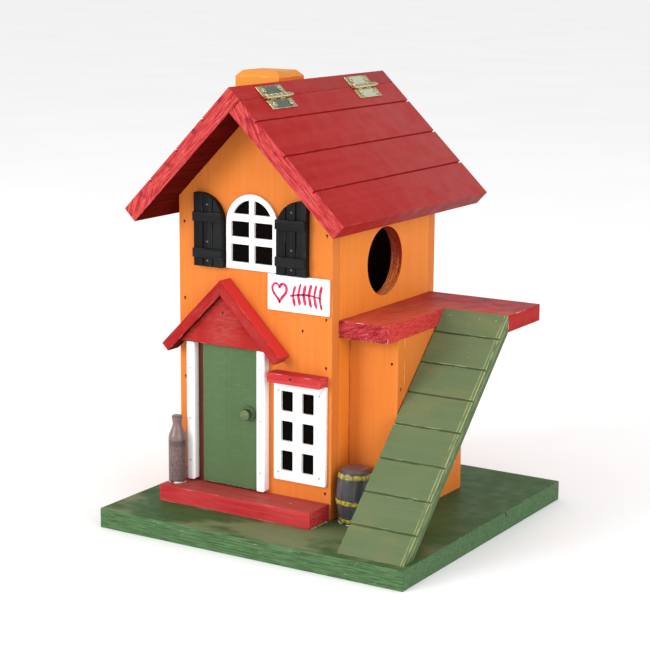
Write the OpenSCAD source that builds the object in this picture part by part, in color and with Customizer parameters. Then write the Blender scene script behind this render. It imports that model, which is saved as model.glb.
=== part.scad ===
// Wooden birdhouse shaped like a small farmhouse.
// Frame: origin at the centre of the base plate's underside, +X to the ramp side,
// +Y to the back, +Z up.  House sizes are measured from the house's own corner line:
// x = 0 under the ridge, y = 0 at the front wall's outer face.

/* [Base] */
// Width of the base plate, left to right
base_w = 192.6; // [190:0.2:210]
// Depth of the base plate, front to back
base_d = 187.6; // [187.6:0.2:200]
// Thickness of the base plate
base_t = 11.1; // [9:0.1:14]
// How far the base reaches left of the ridge line
base_left = 69.5; // [69.5:0.5:72]
// How far the base reaches in front of the front wall
base_front = 50; // [48:0.5:50]

/* [House] */
// Width of the house across both side walls
house_w = 100; // [98:0.5:102]
// Depth of the house over the front and back walls
house_d = 113.6; // [112:0.2:113.6]
// Thickness of the roof boards, the platform and the floor
board_t = 9.5; // [9:0.1:10]
// Thickness of the wall boards
wall_t = 7.3; // [6.5:0.1:9]
// Height of the outer ridge edge above the ground
ridge_z = 245.3; // [243:0.1:248]
// Height of the nest floor's top
floor_top_z = 119.5; // [116:0.5:121]

/* [Roof] */
// Pitch of the fixed left slope, degrees
left_pitch = 45; // [45:0.5:46]
// Pitch of the hinged right slope, degrees
lid_pitch = 43.5; // [43:0.5:45]
// Length of each slope from the ridge to the eave
slope_len = 98.2; // [96:0.2:98.2]
// Roof overhang in front of and behind the walls
roof_overhang = 24; // [22:0.5:24]
// Planks that the saw grooves mark on each slope
roof_planks = 4; // [3:1:5]
// Play between the lid and what it closes on
lid_gap = 0.3; // [0.2:0.05:0.5]

/* [Saw grooves] */
// Width of a saw groove
groove_w = 1.1; // [0.8:0.1:1.6]
// Depth of a saw groove
groove_d = 1.6; // [1:0.1:2.5]

/* [Hinges] */
// Length of each butt hinge along the ridge
hinge_len = 24; // [20:1:26]
// Width of one hinge leaf from the pin's axis
leaf_w = 8.1; // [7:0.1:9]
// Thickness of the hinge leaf
leaf_t = 0.7; // [0.5:0.1:0.9]
// Outer radius of the hinge knuckles
knuckle_r = 1.4; // [1.2:0.1:1.6]
// Radius of the hinge pin
pin_r = 0.65; // [0.5:0.05:0.8]
// Distance of the pin's axis from the ridge edge, down the right slope
hinge_s = 10.6; // [10:0.1:11.5]
// Front end of the front hinge
front_hinge_y = -2; // [-10:1:10]
// Front end of the rear hinge
rear_hinge_y = 89.2; // [80:0.2:100]

/* [Chimney] */
// Width of the chimney, across the ridge
chimney_w = 29.7; // [26:0.1:32]
// Depth of the chimney, along the ridge
chimney_d = 26.2; // [22:0.1:30]
// Distance of the chimney's right face from the ridge line
chimney_off = 12.5; // [11:0.5:16]
// Height of the chimney's top above the ground
chimney_top_z = 248.9; // [247:0.1:252]
// Size of the chimney's top chamfers
chimney_chamfer = 3.2; // [2:0.1:5]

/* [Entrance] */
// Diameter of the entrance hole
entrance_d = 38.4; // [32:0.2:39]
// Distance of the hole's centre behind the front wall's face
entrance_y = 56; // [50:0.5:60]
// Height of the hole's centre
entrance_z = 146.8; // [145:0.1:148]

/* [Annex and platform] */
// Width of the annex, out from the right wall
annex_w = 30; // [28:0.5:30]
// Distance of the annex front behind the front wall's face
annex_y = 18.7; // [17:0.1:20]
// Depth of the annex
annex_d = 76.1; // [74:0.1:78]
// Height of the platform's top
platform_top_z = 121.4; // [120:0.1:123]
// Width of the platform's narrow front arm
platform_arm_w = 30.6; // [30.2:0.1:33]
// Width of the platform's landing
platform_w = 70.3; // [68:0.1:72]
// Front edge of the platform's arm behind the front wall's face
platform_y = 6.7; // [6:0.1:8]
// Front edge of the landing, where the ramp arrives
landing_y = 69; // [67:0.5:72]
// Back edge of the platform
platform_back_y = 109.2; // [107:0.1:111]

/* [Ramp] */
// Thickness of the ramp board
ramp_t = 7; // [6:0.1:8]
// Gap between the ramp and the platform's arm
ramp_gap = 0.1; // [0.1:0.1:1]
// How far the ramp's foot reaches in front of the front wall's face
ramp_front = 44.3; // [40:0.1:46]

/* [Door] */
// Width of the door step
step_w = 99.8; // [90:0.2:101]
// Depth of the door step
step_d = 19.9; // [18:0.1:21]
// Thickness of the door step
step_t = 9.5; // [9:0.1:10]
// Centre line of the doorway, from the ridge line
door_x = -16.6; // [-17:0.1:-15]
// Clear width between the door posts
doorway_w = 41.2; // [40:0.1:42.4]
// Thickness of the door
door_t = 3.5; // [3:0.1:4]
// Strip of wall that shows beside the door, on its left
door_reveal = 5.2; // [2:0.1:6]
// Width of each door post
post_w = 5.8; // [5:0.1:6.5]
// Depth of each door post
post_d = 4.6; // [4:0.1:5.5]
// Gap between the step and the feet of the door and its posts
foot_gap = 1.1; // [0.5:0.1:1.5]
// Height of the top of the door and posts
door_top_z = 101.6; // [99:0.1:103]
// Diameter of the door knob
knob_d = 6.4; // [5.6:0.1:8]
// How far the knob stands out from the door
knob_len = 5; // [4.4:0.1:9]
// Height of the knob's centre
knob_z = 65; // [55:0.1:75]

/* [Door gable] */
// Centre line of the gable, from the ridge line
gable_x = -15.8; // [-16.4:0.1:-15.2]
// Height of the gable's outer tip
gable_z = 139.1; // [137:0.1:140]
// Outer length of the left raking board
rake_len_left = 56; // [54:0.1:57]
// Outer length of the right raking board
rake_len_right = 55.2; // [54:0.1:56]
// Thickness of the raking boards
rake_t = 5.9; // [5:0.1:6.5]
// Depth of the raking boards
rake_d = 10.2; // [9:0.1:11]
// Thickness of the triangular panel
gable_panel_t = 6.5; // [5.5:0.1:7]

/* [Ground floor window] */
// Left edge of the window frame, from the ridge line
low_frame_x = 14.2; // [13:0.1:16]
// Bottom edge of the window frame
low_frame_z = 29.9; // [28:0.1:32]
// Width of the window frame
low_frame_w = 33.4; // [31:0.1:34]
// Height of the window frame
low_frame_h = 56; // [54:0.1:57]
// Thickness of the ground floor window frame and of the sign
trim_t = 2; // [1.6:0.1:3.5]
// Width of the left stile
low_stile = 4.6; // [3:0.1:6]
// Width of one opening
low_pane_w = 7.6; // [7:0.1:9.5]
// Height of one opening
low_pane_h = 11.3; // [10:0.1:12]
// Width of the bar between the columns
low_mullion = 5.8; // [4:0.1:6]
// Distance between rows of openings
low_row_pitch = 16.8; // [15:0.1:17]
// Width of the red lintel
lintel_w = 33.7; // [32:0.1:36]
// Thickness of the lintel
lintel_t = 5.4; // [4:0.1:5.5]
// Depth of the lintel
lintel_d = 9; // [8:0.1:11]

/* [Attic window] */
// Centre line of the arched frame, from the ridge line
arch_x = -0.5; // [-0.6:0.1:-0.4]
// Outer radius of the arched frame
arch_r = 16.7; // [15:0.1:16.8]
// Thickness of the arched frame
arch_t = 1.8; // [1.5:0.1:3]
// Bottom edge of the arched frame
arch_z = 144.8; // [144.6:0.1:147]
// Height at which the arch springs
arch_spring_z = 169.6; // [168:0.1:171]
// Width of the frame around the panes
arch_rim = 3.3; // [3:0.1:4]
// Width of the upright bar between the panes
arch_mullion = 3.4; // [3:0.1:4.5]
// Height of the level bars between the panes
arch_bar = 4.1; // [3:0.1:4.5]
// Height of the frame's bottom rail
arch_sill = 3.9; // [3:0.1:5]
// Height of the two lowest panes
arch_low_pane_h = 9.8; // [8:0.1:10]
// Height of the two panes above them
arch_mid_pane_h = 8.5; // [8:0.1:9]

/* [Shutters] */
// Width of each shutter
shutter_w = 19; // [18:0.1:19.5]
// Height of each shutter
shutter_h = 40.7; // [39:0.1:43]
// Bottom edge of each shutter
shutter_z = 144.5; // [144.5:0.1:146]
// Distance of the left shutter's inner edge from the ridge line
shutter_in_left = 18.4; // [17.6:0.1:19]
// Distance of the right shutter's inner edge from the ridge line
shutter_in_right = 16.6; // [16.5:0.1:18]
// Thickness of the shutter boards
shutter_t = 4; // [2.5:0.1:4.5]
// Thickness of the shutter battens
batten_t = 1.4; // [1:0.1:2]
// Height of each batten
batten_h = 5.2; // [4:0.1:6.5]

/* [Sign] */
// Left edge of the sign, from the ridge line
sign_x = 10; // [8:0.1:11]
// Bottom edge of the sign
sign_z = 124.6; // [123:0.1:124.6]
// Width of the sign
sign_w = 38.8; // [36:0.1:39.8]
// Height of the sign
sign_h = 19.9; // [18:0.1:19.9]

/* [Bottle and barrel] */
// Height of the bottle
bottle_h = 38.3; // [37.6:0.1:42]
// Diameter of the bottle's body
bottle_d = 10; // [9:0.1:11]
// Height of the barrel
barrel_h = 30.7; // [30.4:0.1:33]
// Largest diameter of the barrel
barrel_d = 21.1; // [19:0.1:23]
// Diameter of the barrel at its ends
barrel_end_d = 16.2; // [15:0.1:18]

/* [Nails and screws] */
// Diameter of the brads
brad_d = 1.2; // [1:0.1:1.6]
// Length of the brads that join the boards
brad_len = 22; // [20:1:24]
// Length of the pins that hold the trim
trim_pin_len = 8; // [7:0.5:9]
// Shank diameter of the hinge screws
screw_d = 1.4; // [1.2:0.1:1.6]
// Head diameter of the hinge screws
screw_head_d = 3; // [2.6:0.1:3.4]
// Length of the hinge screws under the head
screw_len = 7; // [5:0.5:8]

/* [Hidden] */
$fn = 64;

// Where the house's corner line stands on the base
house_x = base_left - base_w / 2;
house_y = base_front - base_d / 2;

wall_x = house_w / 2;
wall_mid_x = wall_x - wall_t / 2;
back_y = house_d - wall_t;
step_top_z = base_t + step_t;
platform_z = platform_top_z - board_t;
annex_mid_x = wall_x + annex_w - wall_t / 2;
landing_x = wall_x + platform_w;
roof_y = -roof_overhang;
roof_d = house_d + 2 * roof_overhang;
plank_w = slope_len / roof_planks;

// The left board's ridge end lies in the right slope, so it is cut a little off square
ridge_cut = board_t / sin(left_pitch + lid_pitch);

ramp_x = wall_x + platform_arm_w + ramp_gap;
ramp_rise = platform_top_z - base_t;
ramp_run = landing_y + ramp_front;
ramp_angle = atan(ramp_rise / ramp_run);

lintel_x = low_frame_x - 0.1;
lintel_z = low_frame_z + low_frame_h + 0.1;

gable_inner_z = gable_z - rake_t / cos(45);

trim_skin = 0.05;     // how far a trim nail's head stands proud of its board
nail_sink = 0.25;     // how far the brads in the walls and the base are punched in
hinge_play = 0.03;    // radial play of the knuckles on the pin
knuckle_gap = 0.15;   // end play between two knuckles
hinge_knuckles = 5;
pin_tail = 3;         // the pin stands out this far behind its hinge

wall_nail_z_left = [26, 80, 125, 168];
wall_nail_z_right = [26, 96, 122.5, 168];
floor_nail_x = [-31.4, 31.4];
floor_nail_z = floor_top_z - board_t / 2;
post_nail_z_left = [32.7, 57.2, 86.2];
post_nail_z_right = [32.2, 61.7, 91.2];
ramp_nail_x = [86, 104, 114.5];
ramp_groove_s = [16, 36.5, 56.5, 77, 99, 120, 140];   // by eye, so not quite evenly spaced

// ---- helpers ----

module on_house() {
  translate([house_x, house_y, 0]) children();
}

// A profile drawn in X and Z, pushed back along Y
module along_y(y0, depth) {
  translate([0, y0 + depth, 0]) rotate([90, 0, 0]) linear_extrude(depth) children();
}

// A profile drawn in Y and Z, pushed out along X
module along_x(x0, width) {
  translate([x0, 0, 0]) rotate([90, 0, 90]) linear_extrude(width) children();
}

module box(low, high) {
  translate(low) cube(high - low);
}

// Right slope frame: local X runs down the slope from the ridge, local Z points out of it
module on_lid_slope() {
  translate([0, 0, ridge_z]) rotate([0, lid_pitch, 0]) children();
}

// Left slope frame: local X runs down the left slope, local Z points out of it
module on_left_slope() {
  mirror([1, 0, 0]) translate([0, 0, ridge_z]) rotate([0, left_pitch, 0]) children();
}

// Height of the left roof board's underside and of the space under the lid
function left_under_z(x) = ridge_z - board_t / cos(left_pitch) + x * tan(left_pitch);
function lid_under_z(x) = ridge_z - (board_t + lid_gap) / cos(lid_pitch) - x * tan(lid_pitch);
function peak_x() = (lid_under_z(0) - left_under_z(0)) / (tan(left_pitch) + tan(lid_pitch));

module brad_y(x, z, y0, length) {
  translate([x, y0, z]) rotate([-90, 0, 0]) cylinder(h = length, d = brad_d, $fn = 20);
}

module brad_up(x, y, z0, length) {
  translate([x, y, z0]) cylinder(h = length, d = brad_d, $fn = 20);
}

// Saw grooves along the slope, one between each two planks
module slope_grooves() {
  for (i = [1 : roof_planks - 1])
    box([i * plank_w - groove_w / 2, roof_y - 1, -groove_d],
        [i * plank_w + groove_w / 2, roof_y + roof_d + 1, 1]);
}

// ---- nails: each set is also cut out of the boards it passes through ----
// Wall, base and annex brads are punched in by sink; a negative sink cuts their open holes.

// Two facing brads, driven in from the front at y0 and from the back at y1
module brad_pair(x, z, y0, y1, sink) {
  brad_y(x, z, y0 + sink, brad_len - sink);
  brad_y(x, z, y1 - brad_len, brad_len - sink);
}

module wall_nail_set(sink = -1) {
  for (z = wall_nail_z_left) brad_pair(-wall_mid_x, z, 0, house_d, sink);
  for (z = wall_nail_z_right) brad_pair(wall_mid_x, z, 0, house_d, sink);
  for (x = floor_nail_x) brad_pair(x, floor_nail_z, 0, house_d, sink);
}

module base_nail_set(sink = -1) {
  for (x = [-30, 30], y = [wall_t / 2, house_d - wall_t / 2]) brad_up(x, y, sink, brad_len - sink);
  for (x = [-wall_mid_x, wall_mid_x]) brad_up(x, house_d / 2, sink, brad_len - sink);
  brad_up(annex_mid_x, annex_y + annex_d / 2, sink, brad_len - sink);
}

module roof_nail_set() {
  for (y = [wall_t / 2, house_d - wall_t / 2], s = [plank_w * 1.5, plank_w * 2.5])
    on_left_slope() translate([s, y, trim_skin - brad_len]) cylinder(h = brad_len, d = brad_d, $fn = 20);
}

module annex_nail_set(sink = -1) {
  for (z = [35, 98.5]) brad_pair(annex_mid_x, z, annex_y, annex_y + annex_d, sink);
  translate([wall_x + annex_w - sink, annex_y + wall_t / 2, 84.5]) rotate([0, -90, 0])
    cylinder(h = trim_pin_len - sink, d = brad_d, $fn = 20);
}

module ramp_nail_set() {
  for (x = ramp_nail_x) brad_y(x, platform_z + 6.3, landing_y - 3.4, 12);
}

module post_nails(x, heights) {
  for (z = heights) brad_y(x, z, -post_d - trim_skin, trim_pin_len + 4);
}

// The thin pins through a shutter, set out from its inner lower corner
module shutter_nails() {
  for (z = [3.4, 14, 34.5])
    brad_y(shutter_w * 0.52, z, -shutter_t - trim_skin, trim_pin_len);
}

module trim_nail_set() {
  post_nails(door_x - (doorway_w + post_w) / 2, post_nail_z_left);
  post_nails(door_x + (doorway_w + post_w) / 2, post_nail_z_right);
  brad_y(gable_x - 0.6, 120, -gable_panel_t - trim_skin, trim_pin_len + 4);
  for (x = [3, 29.2], z = [4.4, 50.4])
    brad_y(low_frame_x + x, low_frame_z + z, -trim_t - trim_skin, trim_pin_len);
  brad_y(lintel_x + 15, lintel_z + 3.2, -lintel_d - trim_skin, trim_pin_len + 6);
  for (x = [-39.4, 31]) brad_up(x, -11, base_t - 6.5, step_t + 6.5 + trim_skin);
  translate([-shutter_in_left, 0, shutter_z]) mirror([1, 0, 0]) shutter_nails();
  translate([shutter_in_right, 0, shutter_z]) shutter_nails();
}

// ---- carcass ----

module base_plate() {
  color("darkolivegreen") difference() {
    translate([-base_w / 2, -base_d / 2, 0]) cube([base_w, base_d, base_t]);
    on_house() {
      base_nail_set();
      trim_nail_set();
    }
  }
}

module gable_profile() {
  polygon([
    [-wall_x, base_t], [wall_x, base_t], [wall_x, lid_under_z(wall_x)],
    [peak_x(), left_under_z(peak_x())], [-wall_x, left_under_z(-wall_x)]
  ]);
}

module front_wall() {
  color("orange") on_house() difference() {
    along_y(0, wall_t) gable_profile();
    wall_nail_set();
    base_nail_set();
    roof_nail_set();
    trim_nail_set();
  }
}

module back_wall() {
  color("orange") on_house() difference() {
    along_y(back_y, wall_t) gable_profile();
    wall_nail_set();
    base_nail_set();
    roof_nail_set();
  }
}

module left_wall() {
  color("orange") on_house() difference() {
    along_y(wall_t, back_y - wall_t) polygon([
      [-wall_x, base_t], [wall_t - wall_x, base_t],
      [wall_t - wall_x, left_under_z(wall_t - wall_x)], [-wall_x, left_under_z(-wall_x)]
    ]);
    wall_nail_set();
    base_nail_set();
  }
}

module right_wall() {
  color("orange") on_house() difference() {
    along_y(wall_t, back_y - wall_t) polygon([
      [wall_x - wall_t, base_t], [wall_x, base_t],
      [wall_x, lid_under_z(wall_x)], [wall_x - wall_t, lid_under_z(wall_x - wall_t)]
    ]);
    translate([wall_x - wall_t - 1, entrance_y, entrance_z])
      rotate([0, 90, 0]) cylinder(h = wall_t + 2, d = entrance_d, $fn = 96);
    wall_nail_set();
    base_nail_set();
  }
}

module nest_floor() {
  color("burlywood") on_house() difference() {
    box([wall_t - wall_x, wall_t, floor_top_z - board_t], [wall_x - wall_t, back_y, floor_top_z]);
    wall_nail_set();
  }
}

// ---- roof ----

module left_roof_board() {
  color("crimson") on_house() difference() {
    along_y(roof_y, roof_d) polygon([
      [0, ridge_z],
      [ridge_cut * cos(lid_pitch), ridge_z - ridge_cut * sin(lid_pitch)],
      [-(slope_len * cos(left_pitch) - board_t * sin(left_pitch)),
        ridge_z - slope_len * sin(left_pitch) - board_t * cos(left_pitch)],
      [-slope_len * cos(left_pitch), ridge_z - slope_len * sin(left_pitch)]
    ]);
    on_left_slope() slope_grooves();
    roof_nail_set();
    hinge_screw_set(-1);
  }
}

module roof_lid() {
  color("crimson") on_house() difference() {
    on_lid_slope() along_y(roof_y, roof_d) polygon([
      [ridge_cut + lid_gap, 0], [slope_len, 0], [slope_len, -board_t],
      [ridge_cut + lid_gap - board_t / tan(left_pitch + lid_pitch), -board_t]
    ]);
    on_lid_slope() slope_grooves();
    hinge_screw_set(1);
  }
}

module chimney() {
  color("darkorange") on_house() intersection() {
    along_y(house_d / 2 - chimney_d / 2, chimney_d) polygon([
      [-chimney_off, ridge_z - chimney_off * tan(left_pitch)],
      [-chimney_off, chimney_top_z - chimney_chamfer],
      [-chimney_off - chimney_chamfer, chimney_top_z],
      [-chimney_off - chimney_w + chimney_chamfer, chimney_top_z],
      [-chimney_off - chimney_w, chimney_top_z - chimney_chamfer],
      [-chimney_off - chimney_w, ridge_z - (chimney_off + chimney_w) * tan(left_pitch)]
    ]);
    along_x(-chimney_off - chimney_w - 1, chimney_w + 2) translate([house_d / 2, 0]) polygon([
      [-chimney_d / 2, ridge_z / 2], [chimney_d / 2, ridge_z / 2],
      [chimney_d / 2, chimney_top_z - chimney_chamfer],
      [chimney_d / 2 - chimney_chamfer, chimney_top_z],
      [chimney_chamfer - chimney_d / 2, chimney_top_z],
      [-chimney_d / 2, chimney_top_z - chimney_chamfer]
    ]);
  }
}

// ---- hinges ----

// Pin frame: local X runs down the slope from the pin's axis, local Z points out of the slope
module on_pin_axis(y) {
  on_lid_slope() translate([hinge_s, y, knuckle_r]) children();
}

module pin_cylinder(y0, length, r) {
  translate([0, y0, 0]) rotate([-90, 0, 0]) cylinder(h = length, r = r, $fn = 32);
}

// One leaf with its own share of the knuckles; side is 1 for the lid, -1 for the fixed board
module hinge_leaf(y, side) {
  step = hinge_len / hinge_knuckles;
  first = side > 0 ? 1 : 0;
  on_pin_axis(y) difference() {
    union() {
      box([side > 0 ? 0 : -leaf_w, 0, -knuckle_r], [side > 0 ? leaf_w : 0, hinge_len, leaf_t - knuckle_r]);
      for (i = [first : 2 : hinge_knuckles - 1])
        pin_cylinder(i * step + knuckle_gap / 2, step - knuckle_gap, knuckle_r);
    }
    for (i = [1 - first : 2 : hinge_knuckles - 1])
      box([-knuckle_r - lid_gap, i * step - knuckle_gap / 2, -2 * knuckle_r],
          [knuckle_r + lid_gap, (i + 1) * step + knuckle_gap / 2, 2 * knuckle_r]);
    pin_cylinder(-1, hinge_len + 2, pin_r + hinge_play);
    for (sy = screw_ys()) translate([side * leaf_w * 0.62, sy, -2 * knuckle_r])
      cylinder(h = 4 * knuckle_r, d = screw_d, $fn = 24);
  }
}

function screw_ys() = [4.2, hinge_len - 4.2];

module hinge_pin(y) {
  on_pin_axis(y) {
    pin_cylinder(-0.3, hinge_len + 0.3 + pin_tail, pin_r);
    pin_cylinder(-0.9, 0.7, pin_r * 1.6);
  }
}

// Round-headed screws through one side's leaves, also cut out of the board below
module hinge_screw_set(side) {
  for (y = [front_hinge_y, rear_hinge_y], sy = screw_ys())
    on_pin_axis(y) translate([side * leaf_w * 0.62, sy, leaf_t - knuckle_r]) {
      cylinder(h = 0.55, d = screw_head_d, $fn = 24);
      translate([0, 0, -screw_len]) cylinder(h = screw_len + 0.1, d = screw_d, $fn = 24);
    }
}

module front_hinge_fixed_leaf() { color("goldenrod") on_house() hinge_leaf(front_hinge_y, -1); }
module front_hinge_lid_leaf() { color("gold") on_house() hinge_leaf(front_hinge_y, 1); }
module front_hinge_pin() { color("lightgray") on_house() hinge_pin(front_hinge_y); }
module rear_hinge_fixed_leaf() { color("goldenrod") on_house() hinge_leaf(rear_hinge_y, -1); }
module rear_hinge_lid_leaf() { color("gold") on_house() hinge_leaf(rear_hinge_y, 1); }
module rear_hinge_pin() { color("lightgray") on_house() hinge_pin(rear_hinge_y); }
module hinge_screws_fixed() { color("silver") on_house() hinge_screw_set(-1); }
module hinge_screws_lid() { color("silver") on_house() hinge_screw_set(1); }

// ---- annex, platform and ramp ----

module annex_front() {
  color("orange") on_house() difference() {
    box([wall_x, annex_y, base_t], [wall_x + annex_w, annex_y + wall_t, platform_z]);
    annex_nail_set();
  }
}

module annex_side() {
  color("orange") on_house() difference() {
    box([wall_x + annex_w - wall_t, annex_y + wall_t, base_t],
        [wall_x + annex_w, annex_y + annex_d - wall_t, platform_z]);
    annex_nail_set();
    base_nail_set();
  }
}

module annex_back() {
  color("orange") on_house() difference() {
    box([wall_x, annex_y + annex_d - wall_t, base_t], [wall_x + annex_w, annex_y + annex_d, platform_z]);
    annex_nail_set();
  }
}

module platform_board() {
  color("crimson") on_house() difference() {
    translate([0, 0, platform_z]) linear_extrude(board_t) polygon([
      [wall_x, platform_y], [wall_x + platform_arm_w, platform_y],
      [wall_x + platform_arm_w, landing_y], [landing_x, landing_y],
      [landing_x, platform_back_y], [wall_x, platform_back_y]
    ]);
    ramp_nail_set();
  }
}

module ramp() {
  heel = ramp_t / sin(ramp_angle);   // the foot lies flat on the base
  head = ramp_t / cos(ramp_angle);   // the top is cut upright against the landing
  color("darkseagreen") on_house() difference() {
    along_x(ramp_x, landing_x - ramp_x) polygon([
      [-ramp_front, base_t], [landing_y, platform_top_z],
      [landing_y, platform_top_z - head], [heel - ramp_front, base_t]
    ]);
    translate([0, landing_y, platform_top_z]) rotate([ramp_angle, 0, 0])
      for (s = ramp_groove_s)
        box([ramp_x - 1, -s - groove_w / 2, -groove_d], [landing_x + 1, groove_w / 2 - s, 1]);
    ramp_nail_set();
  }
}

// ---- doorway ----

module door_step() {
  color("crimson") on_house() difference() {
    box([-wall_x - 0.8, -step_d, base_t], [step_w - wall_x - 0.8, 0, step_top_z]);
    trim_nail_set();
  }
}

module door() {
  color("seagreen") on_house()
    box([door_x - doorway_w / 2 + door_reveal, -door_t, step_top_z + foot_gap],
        [door_x + doorway_w / 2, 0, door_top_z]);
}

// A turned knob: a thin foot, a short neck and a rounded head
module door_knob() {
  r = knob_d / 2;
  neck = 2.4;
  color("seagreen") on_house() translate([door_x + doorway_w / 2 - 4.9, -door_t, knob_z])
    rotate([90, 0, 0]) rotate_extrude() polygon([
      [0, 0], [r + 1, 0], [r + 1, 0.5], [r + 0.6, 0.8], [r * 0.5, 0.9],
      [r * 0.5, neck - 0.5], [r - 0.4, neck - 0.1], [r, neck + 0.3],
      [r, knob_len - 0.9], [r - 0.3, knob_len - 0.3], [r - 0.9, knob_len], [0, knob_len]
    ]);
}

// A strip with rounded front edges and rounded ends
module door_post(x) {
  round_r = 1.3;
  foot = step_top_z + foot_gap;
  on_house() difference() {
    intersection() {
      translate([x, 0, foot]) linear_extrude(door_top_z - foot) {
        translate([-post_w / 2, round_r - post_d]) square([post_w, post_d - round_r]);
        translate([round_r - post_w / 2, -post_d]) square([post_w - 2 * round_r, post_d]);
        for (side = [-1, 1]) translate([side * (post_w / 2 - round_r), round_r - post_d]) circle(round_r);
      }
      along_y(-post_d - 1, post_d + 2) translate([x - post_w / 2, foot])
        soft_rect(post_w, door_top_z - foot, round_r);
    }
    trim_nail_set();
  }
}

module door_post_left() { color("white") door_post(door_x - (doorway_w + post_w) / 2); }
module door_post_right() { color("white") door_post(door_x + (doorway_w + post_w) / 2); }

// One raking board, drawn down the right side from the tip and mitred there
module raking_board(length) {
  drop = length * sin(45);
  translate([gable_x, 0, gable_z]) along_y(-rake_d, rake_d) polygon([
    [0, 0], [drop, -drop], [drop - rake_t * sin(45), -drop - rake_t * cos(45)], [0, -rake_t / cos(45)]
  ]);
}

module gable_right_board() {
  color("crimson") on_house() raking_board(rake_len_right);
}

module gable_left_board() {
  color("crimson") on_house() translate([2 * gable_x, 0, 0]) mirror([1, 0, 0]) raking_board(rake_len_left);
}

module gable_panel() {
  half = gable_inner_z - door_top_z;
  color("crimson") on_house() difference() {
    translate([gable_x, 0, door_top_z]) along_y(-gable_panel_t, gable_panel_t)
      polygon([[-half, 0], [half, 0], [0, half]]);
    trim_nail_set();
  }
}

// ---- windows, shutters and sign ----

// A rectangle with rounded corners, drawn in X and Z
module soft_rect(w, h, r) {
  translate([r, 0]) square([w - 2 * r, h]);
  translate([0, r]) square([w, h - 2 * r]);
  for (x = [r, w - r], z = [r, h - r]) translate([x, z]) circle(r, $fn = 32);
}

module lower_window_frame() {
  color("white") on_house() difference() {
    along_y(-trim_t, trim_t) difference() {
      translate([low_frame_x, low_frame_z]) soft_rect(low_frame_w, low_frame_h, 1);
      for (col = [0 : 1], row = [0 : 2])
        translate([low_frame_x + low_stile + col * (low_pane_w + low_mullion),
                   low_frame_z + 5.6 + row * low_row_pitch])
          soft_rect(low_pane_w, low_pane_h, 0.7);
    }
    trim_nail_set();
  }
}

module lower_window_lintel() {
  color("crimson") on_house() difference() {
    box([lintel_x, -lintel_d, lintel_z], [lintel_x + lintel_w, 0, lintel_z + lintel_t]);
    trim_nail_set();
  }
}

module arch_outline(r, bottom) {
  translate([0, arch_spring_z]) circle(r, $fn = 96);
  translate([-r, bottom]) square([2 * r, arch_spring_z - bottom]);
}

module arch_window_frame() {
  inner_r = arch_r - arch_rim;
  low_bar_z = arch_z + arch_sill + arch_low_pane_h;
  high_bar_z = low_bar_z + arch_bar + arch_mid_pane_h;
  color("white") on_house() translate([arch_x, 0, 0]) along_y(-arch_t, arch_t) difference() {
    arch_outline(arch_r, arch_z);
    difference() {
      arch_outline(inner_r, arch_z + arch_sill);
      translate([-arch_mullion / 2, arch_z]) square([arch_mullion, 2 * arch_r + 10]);
      for (z = [low_bar_z, high_bar_z]) translate([-arch_r, z]) square([2 * arch_r, arch_bar]);
    }
  }
}

// A plank shutter with its rounded corner at the inner side, inner edge at x = 0
module shutter_panel() {
  corner = shutter_w * 0.82;
  board = shutter_w / 3;
  difference() {
    along_y(-shutter_t, shutter_t) {
      square([shutter_w, shutter_h - corner]);
      translate([corner, 0]) square([shutter_w - corner, shutter_h]);
      intersection() {
        translate([corner, shutter_h - corner]) circle(corner, $fn = 96);
        square([shutter_w, shutter_h]);
      }
    }
    for (i = [1, 2])
      box([i * board - 0.35, -shutter_t - 1, -1], [i * board + 0.35, 0.9 - shutter_t, shutter_h + 1]);
    shutter_nails();
  }
}

module shutter_batten_pair() {
  for (z = [5, 25])
    box([0, -shutter_t - batten_t, z], [shutter_w, -shutter_t, z + batten_h]);
}

module place_left_shutter() {
  on_house() translate([-shutter_in_left, 0, shutter_z]) mirror([1, 0, 0]) children();
}

module place_right_shutter() {
  on_house() translate([shutter_in_right, 0, shutter_z]) children();
}

module left_shutter() { color("#202428") place_left_shutter() shutter_panel(); }
module left_shutter_battens() { color("#303438") place_left_shutter() shutter_batten_pair(); }
module right_shutter() { color("#202428") place_right_shutter() shutter_panel(); }
module right_shutter_battens() { color("#303438") place_right_shutter() shutter_batten_pair(); }

module sign_board() {
  color("white") on_house()
    box([sign_x, -trim_t, sign_z], [sign_x + sign_w, 0, sign_z + sign_h]);
}

// ---- turned pieces ----

module bottle() {
  r = bottle_d / 2;
  neck_r = 2.6;
  lip_r = 3.1;
  shoulder_z = 25;
  neck_z = 34;
  shoulder = [for (a = [0 : 15 : 180])
    [neck_r + (r - neck_r) * (1 + cos(a)) / 2, shoulder_z + (neck_z - shoulder_z) * a / 180]];
  color("rosybrown") on_house() translate([-45.9, -9.3, step_top_z])
    rotate_extrude($fn = 48) polygon(concat(
      [[0, 0], [r - 0.5, 0], [r, 0.7]], shoulder,
      [[neck_r + 0.1, bottle_h - 3.4], [lip_r - 0.1, bottle_h - 2.2], [lip_r, bottle_h - 0.6],
       [lip_r - 0.5, bottle_h], [0, bottle_h]]
    ));
}

function barrel_r(z) =
  barrel_d / 2 - (barrel_d - barrel_end_d) / 2 * pow((2 * z - barrel_h) / barrel_h, 2);

// One raised hoop between two heights
module barrel_hoop(z0, z1) {
  rise = 0.35;
  rotate_extrude($fn = 64) polygon([
    [0, z0], [barrel_r(z0) + rise, z0], [barrel_r((z0 + z1) / 2) + rise, (z0 + z1) / 2],
    [barrel_r(z1) + rise, z1], [0, z1]
  ]);
}

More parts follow.
